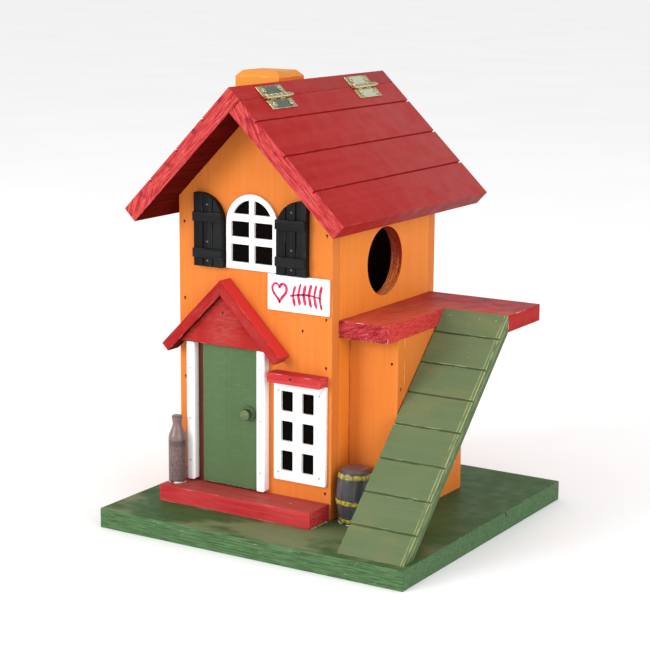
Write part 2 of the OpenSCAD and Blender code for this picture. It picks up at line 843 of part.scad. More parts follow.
module barrel() {
  stations = [for (i = [0 : 12]) i * (barrel_h - 1.4) / 12];
  color("dimgray") on_house() translate([62, 6, base_t]) {
    rotate_extrude($fn = 64) polygon(concat(
      [[0, 0]], [for (z = stations) [barrel_r(z), z]],
      [[barrel_r(barrel_h) - 1.1, barrel_h], [0, barrel_h]]
    ));
    for (z = [0.6, 11, 25.2]) barrel_hoop(z, z + 3.7);
  }
}

// ---- fixings ----

module wall_nails() { color("dimgray") on_house() wall_nail_set(nail_sink); }
module base_nails() { color("dimgray") on_house() base_nail_set(nail_sink); }
module roof_nails() { color("dimgray") on_house() roof_nail_set(); }
module annex_nails() { color("dimgray") on_house() annex_nail_set(nail_sink); }
module ramp_nails() { color("dimgray") on_house() ramp_nail_set(); }
module trim_nails() { color("dimgray") on_house() trim_nail_set(); }

base_plate();
front_wall();
back_wall();
left_wall();
right_wall();
nest_floor();
left_roof_board();
roof_lid();
chimney();
front_hinge_fixed_leaf();
front_hinge_lid_leaf();
front_hinge_pin();
rear_hinge_fixed_leaf();
rear_hinge_lid_leaf();
rear_hinge_pin();
hinge_screws_fixed();
hinge_screws_lid();
annex_front();
annex_side();
annex_back();
platform_board();
ramp();
door_step();
door();
door_knob();
door_post_left();
door_post_right();
gable_left_board();
gable_right_board();
gable_panel();
lower_window_frame();
lower_window_lintel();
arch_window_frame();
left_shutter();
left_shutter_battens();
right_shutter();
right_shutter_battens();
sign_board();
bottle();
barrel();
wall_nails();
base_nails();
roof_nails();
annex_nails();
ramp_nails();
trim_nails();
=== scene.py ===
import math
import random
from functools import partial

import bmesh
import bpy
from mathutils import Matrix, Vector


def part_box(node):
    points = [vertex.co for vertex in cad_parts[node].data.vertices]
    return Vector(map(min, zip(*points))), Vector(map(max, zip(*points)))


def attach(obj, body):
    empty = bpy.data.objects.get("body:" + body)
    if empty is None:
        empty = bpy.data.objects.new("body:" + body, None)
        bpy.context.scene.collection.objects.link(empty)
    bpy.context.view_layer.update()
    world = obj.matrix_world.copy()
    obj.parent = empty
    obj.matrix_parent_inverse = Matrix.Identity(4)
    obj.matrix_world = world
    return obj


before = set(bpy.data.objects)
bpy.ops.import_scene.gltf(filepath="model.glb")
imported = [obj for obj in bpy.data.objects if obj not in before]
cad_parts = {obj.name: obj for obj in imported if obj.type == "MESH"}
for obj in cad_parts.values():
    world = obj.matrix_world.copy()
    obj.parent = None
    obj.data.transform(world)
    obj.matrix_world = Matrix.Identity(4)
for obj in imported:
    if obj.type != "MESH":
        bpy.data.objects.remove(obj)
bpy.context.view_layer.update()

MM = 0.001
JOIN = 0.002 * MM  # vertices closer than this are one
X, Y, Z = 0, 1, 2
UP = Vector((0, 0, 1))

# The growth rings in end grain run at a slant to the board's faces
END_TURN = (0.15, 0.25, 0.15)
LEFT_PITCH = math.radians(45)
LID_PITCH = math.radians(43.5)
GABLE_PITCH = math.radians(45)


# -------- shader helpers

class Nodes:
    """A node tree, built with short calls."""

    def __init__(self, tree, prefix=""):
        self.tree, self.prefix = tree, prefix

    def node(self, kind, values=None, **settings):
        made = self.tree.nodes.new(self.prefix + kind)
        for key, value in settings.items():
            setattr(made, key, value)
        for key, value in (values or {}).items():
            self.put(value, made.inputs[key])
        return made

    def put(self, value, socket):
        """A socket is linked, and a plain value is set."""
        if isinstance(value, bpy.types.NodeSocket):
            self.tree.links.new(value, socket)
        elif isinstance(value, tuple) and len(value) == 3 and socket.type == "RGBA":
            socket.default_value = (*value, 1)
        else:
            socket.default_value = value

    def math(self, operation, a, b=0.0):
        return self.node("Math", {0: a, 1: b}, operation=operation).outputs[0]


class Shader(Nodes):
    """One material's node tree. Lengths inside it are in millimetres."""

    def __init__(self, name, turn=(0, 0, 0)):
        self.material = bpy.data.materials.new(name)
        self.material.use_nodes = True
        super().__init__(self.material.node_tree, "ShaderNode")
        self.tree.nodes.clear()
        self.bsdf = self.node("BsdfPrincipled", {"Specular IOR Level": 0.22})
        self.node("OutputMaterial", {"Surface": self.bsdf.outputs["BSDF"]})
        coordinates = self.node("TexCoord")
        self.place = self.mapped(coordinates.outputs["Object"], (1 / MM,) * 3)
        self.board = self.mapped(self.place, turn=turn)
        self.facing = self.mapped(coordinates.outputs["Normal"], turn=turn)

    def mapped(self, vector, scale=(1, 1, 1), turn=(0, 0, 0)):
        return self.node("Mapping", {"Vector": vector, "Scale": scale, "Rotation": turn}).outputs[0]

    def noise(self, vector, scale, detail=3.0, roughness=0.55, distortion=0.0):
        values = {"Vector": vector, "Scale": scale, "Detail": detail, "Roughness": roughness,
                  "Distortion": distortion}
        return self.node("TexNoise", values).outputs["Fac"]

    def times(self, product, *others):
        for other in others:
            product = self.math("MULTIPLY", product, other)
        return product

    def plus(self, a, b):
        return self.math("ADD", a, b)

    def minus(self, a, b):
        return self.math("SUBTRACT", a, b)

    def over(self, a, b):
        return self.math("GREATER_THAN", a, b)

    def below(self, a, b):
        return self.math("LESS_THAN", a, b)

    def absolute(self, a):
        return self.math("ABSOLUTE", a)

    def shared(self, a, b, share):
        """A share of a plus the rest of b."""
        return self.plus(self.times(a, share), self.times(b, round(1 - share, 3)))

    def step(self, value, low, high, bottom=0.0, top=1.0):
        """Runs smoothly from bottom to top as value goes from low to high."""
        values = {"Value": value, "From Min": low, "From Max": high, "To Min": bottom, "To Max": top}
        return self.node("MapRange", values, interpolation_type="SMOOTHSTEP").outputs[0]

    def mix(self, factor, a, b):
        return self.node("Mix", {0: factor, 6: a, 7: b}, data_type="RGBA", blend_type="MIX").outputs[2]

    def tint(self, colour, tone, *shares):
        """The colour, brought toward a tone by the product of the shares."""
        return self.mix(self.times(*shares), colour, tone)

    def axis(self, vector, index):
        return self.node("SeparateXYZ", {"Vector": vector}).outputs[index]

    def at(self, index):
        """The object's own coordinate."""
        return self.axis(self.place, index)

    def faces(self, index):
        """How far the surface faces along an axis of the board."""
        return self.axis(self.facing, index)

    def distance(self, point):
        """How far each place is from a point that is given in metres."""
        made = self.node("VectorMath", {0: self.place, 1: tuple(c / MM for c in point)},
                         operation="DISTANCE")
        return made.outputs["Value"]

    def stretched(self, along, share, vector=None):
        """Coordinates drawn out along one axis, the board's unless others are given."""
        return self.mapped(vector or self.board, tuple(share if i == along else 1 for i in range(3)))

    def finish(self, colour, roughness, height=None, depth=0.05):
        self.put(colour, self.bsdf.inputs["Base Color"])
        self.put(roughness, self.bsdf.inputs["Roughness"])
        if height is not None:
            bump = self.node("Bump", {"Height": height, "Distance": depth * MM, "Strength": 1.0})
            self.put(bump.outputs[0], self.bsdf.inputs["Normal"])
        return self.material


def painted_wood(name, base, dark, light, along, turn=(0, 0, 0), worn=None, end=None, underside_shade=None,
                 streaks=0.5, blotch=0.35, gloss=(0.42, 0.6), depth=0.04, flecks=0.0, change=None,
                 shine=0.12, sheen=(1, 1, 1), grime=0.25, edge=False):
    """Paint over wood. along is the grain's axis in the board's own frame, which turn brings upright."""
    s = Shader(name + ("_edge" if edge else ""), turn)
    s.put(shine, s.bsdf.inputs["Specular IOR Level"])
    s.put(sheen, s.bsdf.inputs["Specular Tint"])
    grain = s.noise(s.stretched(along, 0.045), 0.85, 4, 0.62)
    band = s.noise(s.stretched(along, 0.02), 0.16, 3, 0.5, 0.6)
    cloud = s.noise(s.board, 0.028, 3, 0.5)
    colour = s.mix(s.step(grain, 0.34, 0.62), dark, base)
    colour = s.mix(streaks, base, colour)
    colour = s.tint(colour, light, s.step(band, 0.46, 0.6), streaks)
    colour = s.tint(colour, light, s.step(cloud, 0.38, 0.66), blotch)
    height = s.shared(grain, band, 0.6)
    if end:
        end_dark, end_light = end
        slanted = s.mapped(s.board, turn=END_TURN)
        rings = s.noise(s.stretched(Y if along == X else X, 0.14, slanted), 0.8, 4, 0.6, 0.35)
        pores = s.noise(s.board, 1.1, 5, 0.7)
        across = s.shared(rings, pores, 0.65)
        cut = s.mix(s.step(across, 0.4, 0.62), end_dark, end_light)
        speck = s.times(s.step(s.noise(s.board, 1.3, 2), 0.66, 0.74),
                        s.step(s.noise(s.board, 0.14, 2), 0.45, 0.6))
        cut = s.tint(cut, worn or end_light, speck, 0.75)
        is_end = s.step(s.absolute(s.faces(along)), 0.75, 0.9)
        colour = s.mix(is_end, colour, cut)
        height = s.plus(height, s.times(across, is_end, 2.0))
    # Faces that look down take a much darker tone and lose their shine: painted shade on the undersides.
    if underside_shade:
        looks_down = s.step(s.faces(Z), -0.35, -0.6)
        shade = s.mix(s.step(grain, 0.3, 0.7), tuple(c * 0.7 for c in underside_shade),
                      tuple(c * 1.3 for c in underside_shade))
        colour = s.mix(looks_down, colour, shade)
        s.put(s.step(looks_down, 0, 1, shine, 0.0), s.bsdf.inputs["Specular IOR Level"])
    if flecks:
        chip = s.step(s.noise(s.stretched(along, 0.4), 0.55, 2, 0.5), 0.73 - flecks, 0.76 - flecks)
        colour = s.tint(colour, worn or light, chip, 0.7)
    if edge:
        # Edges get dark dirt mixed with painted shade, then pale worn paint.
        rub = s.noise(s.stretched(along, 0.25), 0.35, 4, 0.65)
        colour = s.mix(s.step(rub, 0.48, 0.36, 0, grime), colour, tuple(c * 0.4 for c in dark))
        colour = s.mix(s.step(rub, 0.5, 0.62, 0, 0.8), colour, worn)
    if change:
        colour, height = change(s, colour, height)
    roughness = s.step(s.noise(s.board, 0.12, 3), 0.3, 0.7, *gloss)
    return s.finish(colour, roughness, height, depth)


def both(name, **look):
    """The paint of a board's faces and the more worn paint of its edges."""
    return [painted_wood(name, **look), painted_wood(name, edge=True, **look)]


# -------- CAD nodes: clean edges and finishes

def geometry_group(name, build, *numbers):
    """A node group that takes a mesh and some numbers. build adds its nodes and returns the new mesh."""
    tree = bpy.data.node_groups.new(name, "GeometryNodeTree")
    ends = [("Geometry", "INPUT", "Geometry"), *((number, "INPUT", "Float") for number in numbers),
            ("Geometry", "OUTPUT", "Geometry")]
    for label, direction, kind in ends:
        tree.interface.new_socket(label, in_out=direction, socket_type="NodeSocket" + kind)
    group = Nodes(tree)
    source = group.node("NodeGroupInput").outputs
    group.node("NodeGroupOutput", {0: build(group, source)})
    return tree


def edge_turn(group):
    return group.node("GeometryNodeInputMeshEdgeAngle").outputs["Unsigned Angle"]


def clean(group, source):
    """Drops the imported normals and joins the split vertices, so that the bevel finds the edges."""
    strip = group.node("GeometryNodeRemoveAttribute", {"Geometry": source[0], "Name": "custom_normal"})
    merged_mesh = {"Geometry": strip.outputs["Geometry"], "Distance": JOIN}
    return group.node("GeometryNodeMergeByDistance", merged_mesh).outputs["Geometry"]


def smooth_by_angle(group, source):
    """Smooth faces with sharp edges only where the surface turns by more than an angle."""
    angle = math.radians(32)
    small = group.node("FunctionNodeCompare", {0: edge_turn(group), 1: angle}, operation="LESS_THAN")
    faces = group.node("GeometryNodeSetShadeSmooth", {"Geometry": source[0]})
    values = {"Geometry": faces.outputs[0], "Shade Smooth": small.outputs[0]}
    return group.node("GeometryNodeSetShadeSmooth", values, domain="EDGE").outputs[0]


def mark_edges(group, source):
    """Marks the edges to round: the sharp ones that are longer than a nail hole's facets."""
    ends = group.node("GeometryNodeInputMeshEdgeVertices").outputs
    length = group.node("ShaderNodeVectorMath", {0: ends["Position 1"], 1: ends["Position 2"]},
                        operation="DISTANCE").outputs["Value"]
    weight = 1.0
    for value, least in ((edge_turn(group), math.radians(28)), (length, source["Shortest"])):
        enough = group.node("ShaderNodeMath", {0: value, 1: least}, operation="GREATER_THAN")
        weight = group.node("ShaderNodeMath", {0: weight, 1: enough.outputs[0]},
                            operation="MULTIPLY").outputs[0]
    values = {"Geometry": source["Geometry"], "Name": "bevel_weight_edge", "Value": weight}
    return group.node("GeometryNodeStoreNamedAttribute", values, domain="EDGE",
                      data_type="FLOAT").outputs[0]


CLEAN = geometry_group("clean_mesh", clean)
MARK = geometry_group("mark_edges", mark_edges, "Shortest")
SMOOTH = geometry_group("smooth_by_angle", smooth_by_angle)


def dress(node, materials, bevel=0.3, shortest=0.5):
    """Gives a CAD node its finish and softly rounded edges. The second material is for the edges."""
    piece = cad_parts[node]
    piece.data.materials.clear()
    for material in materials:
        piece.data.materials.append(material)
    piece.modifiers.new("clean", "NODES").node_group = CLEAN
    if bevel:
        flat = piece.modifiers.new("flat", "DECIMATE")
        flat.decimate_type = "DISSOLVE"
        flat.angle_limit = math.radians(0.4)
        mark = piece.modifiers.new("mark", "NODES")
        mark.node_group = MARK
        socket = next(item for item in MARK.interface.items_tree if item.name == "Shortest")
        mark[socket.identifier] = shortest * MM
        rounded = piece.modifiers.new("rounded", "BEVEL")
        rounded.width = bevel * MM
        rounded.segments = 2
        rounded.limit_method = "WEIGHT"
        rounded.use_clamp_overlap = False
        rounded.material = len(materials) - 1
    piece.modifiers.new("smooth", "NODES").node_group = SMOOTH
    if bevel:
        flat_faces = piece.modifiers.new("flat_faces", "WEIGHTED_NORMAL")
        flat_faces.weight = 100
        flat_faces.keep_sharp = True


# -------- mesh helpers

def scene_object(name, data):
    thing = bpy.data.objects.new(name, data)
    bpy.context.scene.collection.objects.link(thing)
    return thing


def new_object(name, bm, material):
    mesh = bpy.data.meshes.new(name)
    bm.to_mesh(mesh)
    bm.free()
    mesh.materials.append(material)
    return scene_object(name, mesh)


def new_piece(name, bm, material, body="house", smooth=False):
    bmesh.ops.recalc_face_normals(bm, faces=bm.faces)
    piece = new_object(name, bm, material)
    for face in piece.data.polygons:
        face.use_smooth = smooth
    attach(piece, body)


def merged(node):
    """A scratch copy of a CAD node's mesh with its vertices joined."""
    bm = bmesh.new()
    bm.from_mesh(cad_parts[node].data)
    bmesh.ops.remove_doubles(bm, verts=bm.verts, dist=JOIN)
    return bm


def centre_of(points):
    return sum(points, Vector()) / len(points)


def board_points(node, turn, axis="Y"):
    """A CAD node's corners in its board's own frame, in millimetres."""
    rotation = Matrix.Rotation(turn, 3, axis)
    return [rotation @ v.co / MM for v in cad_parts[node].data.vertices]


def islands(node):
    """The corner points of each separate solid in a CAD node."""
    bm = merged(node)
    todo, found = dict.fromkeys(bm.verts), []
    while todo:
        stack, points = [todo.popitem()[0]], []
        while stack:
            vertex = stack.pop()
            points.append(vertex.co.copy())
            for edge in vertex.link_edges:
                other = edge.other_vert(vertex)
                if other in todo:
                    del todo[other]
                    stack.append(other)
        found.append(points)
    bm.free()
    return found


def span(points):
    low = Vector([min(p[i] for p in points) for i in range(3)])
    high = Vector([max(p[i] for p in points) for i in range(3)])
    return low, high


def window_openings(node):
    """The outline of every opening in a window frame, read from its front face."""
    bm = merged(node)
    front = min(v.co.y for v in bm.verts)
    on_front = {f for f in bm.faces if all(abs(v.co.y - front) < 0.01 * MM for v in f.verts)}
    rim = [e for e in bm.edges if sum(f in on_front for f in e.link_faces) == 1]
    nexts = {}
    for edge in rim:
        a, b = edge.verts
        nexts.setdefault(a, []).append(b)
        nexts.setdefault(b, []).append(a)
    loops, seen = [], set()
    for start in nexts:
        if start in seen:
            continue
        loop, vertex, previous = [], start, None
        while vertex not in seen:
            seen.add(vertex)
            loop.append(vertex.co.copy())
            vertex, previous = next((v for v in nexts[vertex] if v != previous), start), vertex
        loops.append(loop)
    bm.free()

    def reach(points):
        low, high = span(points)
        return (high - low).length

    loops.sort(key=reach)
    smallest = 3 * MM
    return [points for points in loops[:-1] if reach(points) > smallest]


def add_loft(bm, rings, closed=False):
    """Walls from each ring of points to the next. The row has end caps or closes on itself."""
    rings = [[bm.verts.new(point) for point in ring] for ring in rings]
    pairs = list(zip(rings, rings[1:]))
    if closed:
        pairs.append((rings[-1], rings[0]))
    else:
        bm.faces.new(rings[0])
        bm.faces.new(rings[-1][::-1])
    for first, second in pairs:
        for j in range(len(first)):
            bm.faces.new((first[j - 1], first[j], second[j], second[j - 1]))


def add_plate(bm, outline, back, front):
    """A thin plate whose outline lies in X and Z, between two Y values."""
    add_loft(bm, [[(p.x, y, p.z) for p in outline] for y in (front, back)])


# -------- camera, floor and lights

def make_camera():
    """Stands where the product is seen from: right of the front and a little above the middle."""
    yaw, pitch, roll = (math.radians(a) for a in (31.583, -11.791, 0.426))
    data = bpy.data.cameras.new("camera")
    data.lens, data.sensor_width, data.clip_start = 101.0, 36, 0.01
    camera = scene_object("camera", data)
    position = Matrix.Translation((0.51776, -0.85556, 0.31851))
    level = Matrix.Rotation(yaw, 4, "Z") @ Matrix.Rotation(math.pi / 2 + pitch, 4, "X")
    camera.matrix_world = position @ level @ Matrix.Rotation(roll, 4, "Z")
    bpy.context.scene.camera = camera


def make_floor():
    s = Shader("floor_paper")
    tone = s.step(s.noise(s.board, 0.004, 2), 0.3, 0.7)
    colour = s.mix(tone, (0.92, 0.92, 0.918), (0.94, 0.94, 0.94))
    s.finish(colour, s.step(tone, 0, 1, 0.8, 0.9))
    s.put(0.0, s.bsdf.inputs["Specular IOR Level"])
    bm = bmesh.new()
    bmesh.ops.create_grid(bm, x_segments=8, y_segments=8, size=30)
    new_object("floor", bm, s.material)


def area_light(name, place, size, power):
    data = bpy.data.lights.new(name, "AREA")
    data.size, data.energy = size, power
    light = scene_object(name, data)
    aim = Vector((0, 0, 0.12)) - Vector(place)
    light.rotation_euler = aim.to_track_quat("-Z", "Y").to_euler()
    light.location = place


def make_lights():
    """An even bright surround and three soft boxes."""
    world = bpy.data.worlds.new("studio")
    bpy.context.scene.world = world
    world.use_nodes = True
    background = world.node_tree.nodes["Background"]
    background.inputs["Strength"].default_value = 0.95
    background.inputs["Color"].default_value = (1, 1, 1, 1)
    area_light("key", (-0.9, -1.8, 0.75), 0.9, 23)
    area_light("fill", (1.7, -0.8, 0.6), 1.1, 12)
    area_light("top", (0.2, 0.1, 1.9), 1.2, 3)
    bpy.context.scene.view_settings.view_transform = "Standard"


# -------- the looks of each part

ORANGE = dict(base=(0.665, 0.19, 0.033), dark=(0.62, 0.152, 0.02), light=(0.7, 0.215, 0.047),
              worn=(0.82, 0.34, 0.1), end=((0.72, 0.165, 0.02), (0.78, 0.24, 0.05)), sheen=(1, 0.75, 0.5))
# The red paints darken every face that looks down: painted shade on the undersides.
RED = dict(base=(0.345, 0.016, 0.014), dark=(0.265, 0.007, 0.008), light=(0.39, 0.03, 0.027),
           worn=(0.58, 0.115, 0.1), end=((0.34, 0.019, 0.022), (0.56, 0.088, 0.078)),
           underside_shade=(0.09, 0.006, 0.004), sheen=(1, 0.35, 0.35), shine=0.05)
BRIGHT_RED = dict(RED, base=(0.49, 0.036, 0.04), dark=(0.35, 0.012, 0.015), light=(0.56, 0.064, 0.064),
                  worn=(0.68, 0.19, 0.18), end=((0.46, 0.018, 0.02), (0.72, 0.105, 0.105)))
GREEN = dict(base=(0.046, 0.096, 0.032), dark=(0.035, 0.07, 0.025), light=(0.064, 0.122, 0.046),
             worn=(0.17, 0.27, 0.13), end=((0.055, 0.115, 0.047), (0.105, 0.2, 0.09)),
             sheen=(0.7, 1, 0.6), shine=0.07)
SAGE = dict(base=(0.114, 0.155, 0.074), dark=(0.086, 0.126, 0.058), light=(0.14, 0.172, 0.086),
            worn=(0.34, 0.38, 0.16), end=((0.09, 0.13, 0.06), (0.15, 0.19, 0.09)), sheen=(0.8, 1, 0.6))


def paint(node, slot, bevel, name, **look):
    """One CAD node in a paint of its own."""
    dress(node, both(name, **look), bevel)


def shaded_bare_inside(s, colour, height):
    """The walls' inner faces are bare wood, darkened to near black as painted shade inside the closed
    box.
    """
    low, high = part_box("left_wall")
    board = high.x - low.x
    first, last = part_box("front_wall")[0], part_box("back_wall")[1]
    inside = 1.0
    for i in (X, Y):
        near, far = (first[i] + board) / MM, (last[i] - board) / MM
        inside = s.times(inside, s.over(s.at(i), near - 0.1), s.below(s.at(i), far + 0.1))
    grain = s.noise(s.stretched(Z, 0.06), 0.7, 4, 0.6)
    # Near-black brown wood: painted shade inside the box.
    bare = s.mix(grain, (0.035, 0.018, 0.009), (0.075, 0.042, 0.022))
    return s.mix(inside, colour, bare), height


def entrance(s, colour, height):
    """Layers of torn fibre round the inside of the entrance hole, darker toward the top as painted shade
    and paler low down as painted light.
    """
    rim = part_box("right_wall")[1].x / MM
    centre_y, centre_z, radius = FRONT / MM + 56, 146.8, 19.2
    dy = s.minus(s.at(Y), centre_y)
    dz = s.minus(s.at(Z), centre_z)
    away = s.math("SQRT", s.plus(s.times(dy, dy), s.times(dz, dz)))
    inside = s.times(s.step(away, radius + 0.12, radius + 0.02), s.step(s.at(X), rim - 0.05, rim - 0.3))
    layers = s.noise(s.mapped(s.place, (1.6, 0.12, 0.12)), 1.0, 3, 0.6, 0.4)
    torn = s.noise(s.mapped(s.place, (1.0, 0.5, 0.5)), 1.6, 5, 0.7)
    mark = s.shared(layers, torn, 0.6)
    # Painted shade: the top of the hole and its red paint edge are darker.
    shaded_top = s.step(dz, -15, 5)
    dark = s.mix(shaded_top, (0.64, 0.078, 0.02), (0.18, 0.012, 0.007))
    pale = s.mix(shaded_top, (1.0, 0.36, 0.085), (0.5, 0.08, 0.04))
    wood = s.mix(s.step(mark, 0.42, 0.58), dark, pale)
    near_rim = s.plus(s.at(X), s.times(torn, 1.5))
    red_edge = s.times(s.step(near_rim, rim - 1.5, rim - 0.9), s.step(dz, -17, 0, 0.15, 0.75))
    wood = s.mix(red_edge, wood, (0.36, 0.018, 0.01))
    # Painted light: the lower side is paler.
    lit_low_side = s.step(dz, 8.0, -10.0)
    wood = s.tint(wood, (0.8, 0.33, 0.16), s.step(torn, 0.55, 0.66), lit_low_side)
    return s.mix(inside, colour, wood), s.plus(height, s.times(mark, 4.0))


def side_wall(s, colour, height):
    """A brown line of painted shade runs up the joint with the annex, with dark dots beside it."""
    low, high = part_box("annex_front")
    off = s.absolute(s.minus(s.at(Y), low.y / MM))
    torn = s.noise(s.mapped(s.place, (1, 1, 0.2)), 0.9, 4, 0.7)
    beside = s.below(s.at(Z), high.z / MM)
    edge = s.minus(off, s.times(torn, 2.6))
    # Painted shade along the joint with the annex.
    line = s.times(s.step(edge, 0.0, -0.8), beside)
    colour = s.tint(colour, (0.42, 0.075, 0.01), line, 0.55)
    dots = s.times(s.step(s.noise(s.place, 0.8, 2), 0.62, 0.68), s.step(off, 1.0, 0.5))
    colour = s.tint(colour, (0.1, 0.02, 0.006), dots, beside)
    return entrance(s, *shaded_bare_inside(s, colour, height))


def dress_walls():
    walls = both("orange_wall", along=Z, streaks=0.35, blotch=0.15, change=shaded_bare_inside, **ORANGE)
    for node in ("front_wall", "back_wall", "left_wall"):
        dress(node, walls)
    annex = both("orange_annex", along=Z, streaks=0.35, blotch=0.15,
                 **dict(ORANGE, worn=(0.92, 0.52, 0.22)))
    for node in ("annex_front", "annex_side", "annex_back"):
        dress(node, annex)
    faded = dict(ORANGE, base=(0.65, 0.24, 0.036), dark=(0.61, 0.2, 0.024), light=(0.68, 0.27, 0.05))
    paint("chimney", "orange_paint", 0.5, "orange_chimney", along=X, streaks=0.35, grime=0.1, **faded)
    # The right wall has the same paint as the other walls; this brighter copy is painted light on that
    # side.
    bright = dict(ORANGE, base=(0.79, 0.232, 0.031), dark=(0.74, 0.188, 0.019), light=(0.82, 0.26, 0.045))
    paint("right_wall", "orange_paint", 0.3, "orange_side", along=Z, streaks=0.4, blotch=0.15,
          change=side_wall, **bright)


def roof_wear(node, turn, lean, s, colour, height):
    """Painted sheen that greys the top toward the back, painted light in the saw grooves and on the lid's
    ridge end, a darker eave face toward the back, and streaky ends.
    """
    (first, front, _), (last, back, top) = span(board_points(node, turn))
    depth = s.minus(top, s.axis(s.board, Z))
    along = s.axis(s.board, X)
    far = s.step(s.axis(s.board, Y), front + 10, back - 10)
    # Painted sheen: the top greys toward the back.
    dull = s.times(far, s.step(s.noise(s.board, 0.05, 3), 0.3, 0.6, 0.5, 0.95))
    seen = s.over(s.faces(Z), -0.5)
    colour = s.tint(colour, (0.335, 0.05, 0.048), dull, seen)
    eave = s.times(far, s.step(s.faces(X), 0.5, 0.8, 0, 0.45))
    colour = s.mix(eave, colour, (0.2, 0.034, 0.036))
    inner = s.times(s.over(along, first + 3), s.below(along, last - 3))
    # Painted light: the saw grooves are brightened against their shade.
    cut = s.times(s.step(depth, 0.1, 0.4), s.below(depth, 1.8))
    colour = s.tint(colour, (0.45, 0.021, 0.021), inner, cut)
    if node == "roof_lid":
        # Painted light on the lid's ridge end inside the joint.
        lit_ridge_end = s.times(s.below(along, first + 2), s.below(s.faces(Z), 0.6))
        colour = s.mix(lit_ridge_end, colour, (0.75, 0.06, 0.06))
    is_end = s.step(s.absolute(s.faces(Y)), 0.75, 0.9)
    streak = s.noise(s.stretched(X, 0.06), 2.0, 5, 0.65, 0.3)
    slanted = s.mapped(s.board, turn=(0, lean, 0))
    slant = s.noise(s.stretched(X, 0.1, slanted), 0.9, 4, 0.6)
    share = s.step(along, first + 30, first + 18)
    rings = s.plus(s.times(slant, share), s.times(streak, s.minus(1.0, share)))
    wood = s.mix(s.step(rings, 0.4, 0.6), (0.33, 0.017, 0.022), (0.53, 0.074, 0.068))
    knot = s.times(s.step(s.noise(s.board, 0.1, 2), 0.56, 0.66), s.step(depth, 7, 3))
    wood = s.tint(wood, (0.2, 0.008, 0.022), knot, 0.7)
    scratch = s.step(s.noise(s.stretched(X, 0.14), 2.0, 3), 0.63, 0.7)
    wood = s.tint(wood, (0.7, 0.24, 0.21), scratch, 0.45)
    height = s.plus(height, s.times(rings, is_end, 2.0))
    return s.mix(is_end, colour, wood), height


def dress_roof():
    # The lid's underside gets a lighter painted shade than the fixed board's.
    inside = dict(RED, underside_shade=(0.21, 0.012, 0.01))
    boards = (("left_roof_board", LEFT_PITCH, 0.44, RED), ("roof_lid", -LID_PITCH, -0.35, inside))
    for node, turn, lean, look in boards:
        paint(node, "red_paint", 0.18, "red_" + node, along=Y, turn=(0, turn, 0), streaks=0.35, grime=0.0,
              change=partial(roof_wear, node, turn, lean), **look)


def dented(s, colour, node, pale):
    """A dark spot at each trim nail that goes through a node, dirt and painted shade of its dent, in a
    pale torn ring.
    """
    low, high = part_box(node)
    for points in islands("trim_nails"):
        near, far = span(points)
        head = (near + far) / 2
        if not (low.x < head.x < high.x and low.z < head.z < high.z):
            continue
        head.y = near.y
        ragged = s.noise(s.place, 0.8, 3, 0.6)
        away = s.plus(s.distance(head), s.times(ragged, 1.6))
        ring = s.times(s.step(away, 2.5, 1.9), s.step(ragged, 0.5, 0.6, 0, 0.8))
        colour = s.mix(ring, colour, pale)
        # Dirt and painted shade in the dent.
        colour = s.mix(s.step(away, 1.9, 1.5), colour, (0.03, 0.006, 0.006))
    return colour


def landing(s, colour, height):
    """The arm near the wall carries painted bounce light, the landing is dull with red patches, and the
    inner side faces are brightened as painted light.
    """
    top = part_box("platform_board")[1].z / MM
    landing_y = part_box("ramp")[1].y / MM
    y = s.at(Y)
    on_top = s.over(s.at(Z), top - 0.1)
    patch = s.step(s.noise(s.place, 0.05, 4, 0.6), 0.42, 0.58)
    surface = s.mix(patch, (0.25, 0.042, 0.044), (0.41, 0.036, 0.037))
    # Painted light: orange bounce from the wall on the arm.
    painted_bounce_light = s.step(y, landing_y + 28, landing_y - 25)
    brush = s.noise(s.mapped(s.mapped(s.place, turn=(0, 0, 0.25)), (1, 0.06, 1)), 0.9, 4, 0.7)
    arm = s.mix(s.step(brush, 0.38, 0.64), (0.5, 0.06, 0.03), (0.68, 0.125, 0.06))
    surface = s.tint(surface, arm, painted_bounce_light, 0.85)
    colour = s.mix(on_top, colour, surface)
    # Painted light on the inner side faces.
    inner_side = s.times(s.step(s.faces(X), 0.5, 0.8), s.below(y, landing_y))
    lit = s.mix(s.step(brush, 0.4, 0.6), (0.46, 0.034, 0.034), (0.6, 0.06, 0.05))
    return s.mix(inner_side, colour, lit), height


def brushed(s, colour, height):
    """Soft pale brush marks along the board, and a few dark scratches."""
    fine = s.noise(s.stretched(X, 0.06), 2.2, 4, 0.7)
    worn = s.step(s.noise(s.board, 0.06, 2), 0.42, 0.6)
    mark = s.times(s.step(fine, 0.46, 0.66), worn)
    colour = s.tint(colour, (0.56, 0.13, 0.12), mark, 0.28)
    scratch = s.step(s.noise(s.stretched(X, 0.3), 1.2, 4, 0.7), 0.62, 0.7)
    colour = s.tint(colour, (0.17, 0.006, 0.01), scratch, 0.45)
    return colour, s.plus(height, s.times(fine, 1.5))


def panel_wear(s, colour, height):
    """The middle of the panel is brushed thin, and its nail gets a dark spot of dirt and painted shade.
    """
    colour, height = brushed(s, colour, height)
    low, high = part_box("gable_panel")
    middle = (low + high) / 2
    middle.z = low.z + 0.3 * (high.z - low.z)
    fine = s.noise(s.stretched(X, 0.08), 2.6, 4, 0.7)
    thin = s.times(s.step(s.distance(middle), 17, 5), s.step(fine, 0.38, 0.62))
    colour = s.tint(colour, (0.44, 0.115, 0.105), thin, 0.4)
    return dented(s, colour, "gable_panel", (0.45, 0.17, 0.14)), height


def lintel_wear(s, colour, height):
    colour, height = brushed(s, colour, height)
    return dented(s, colour, "lower_window_lintel", (0.66, 0.24, 0.26)), height


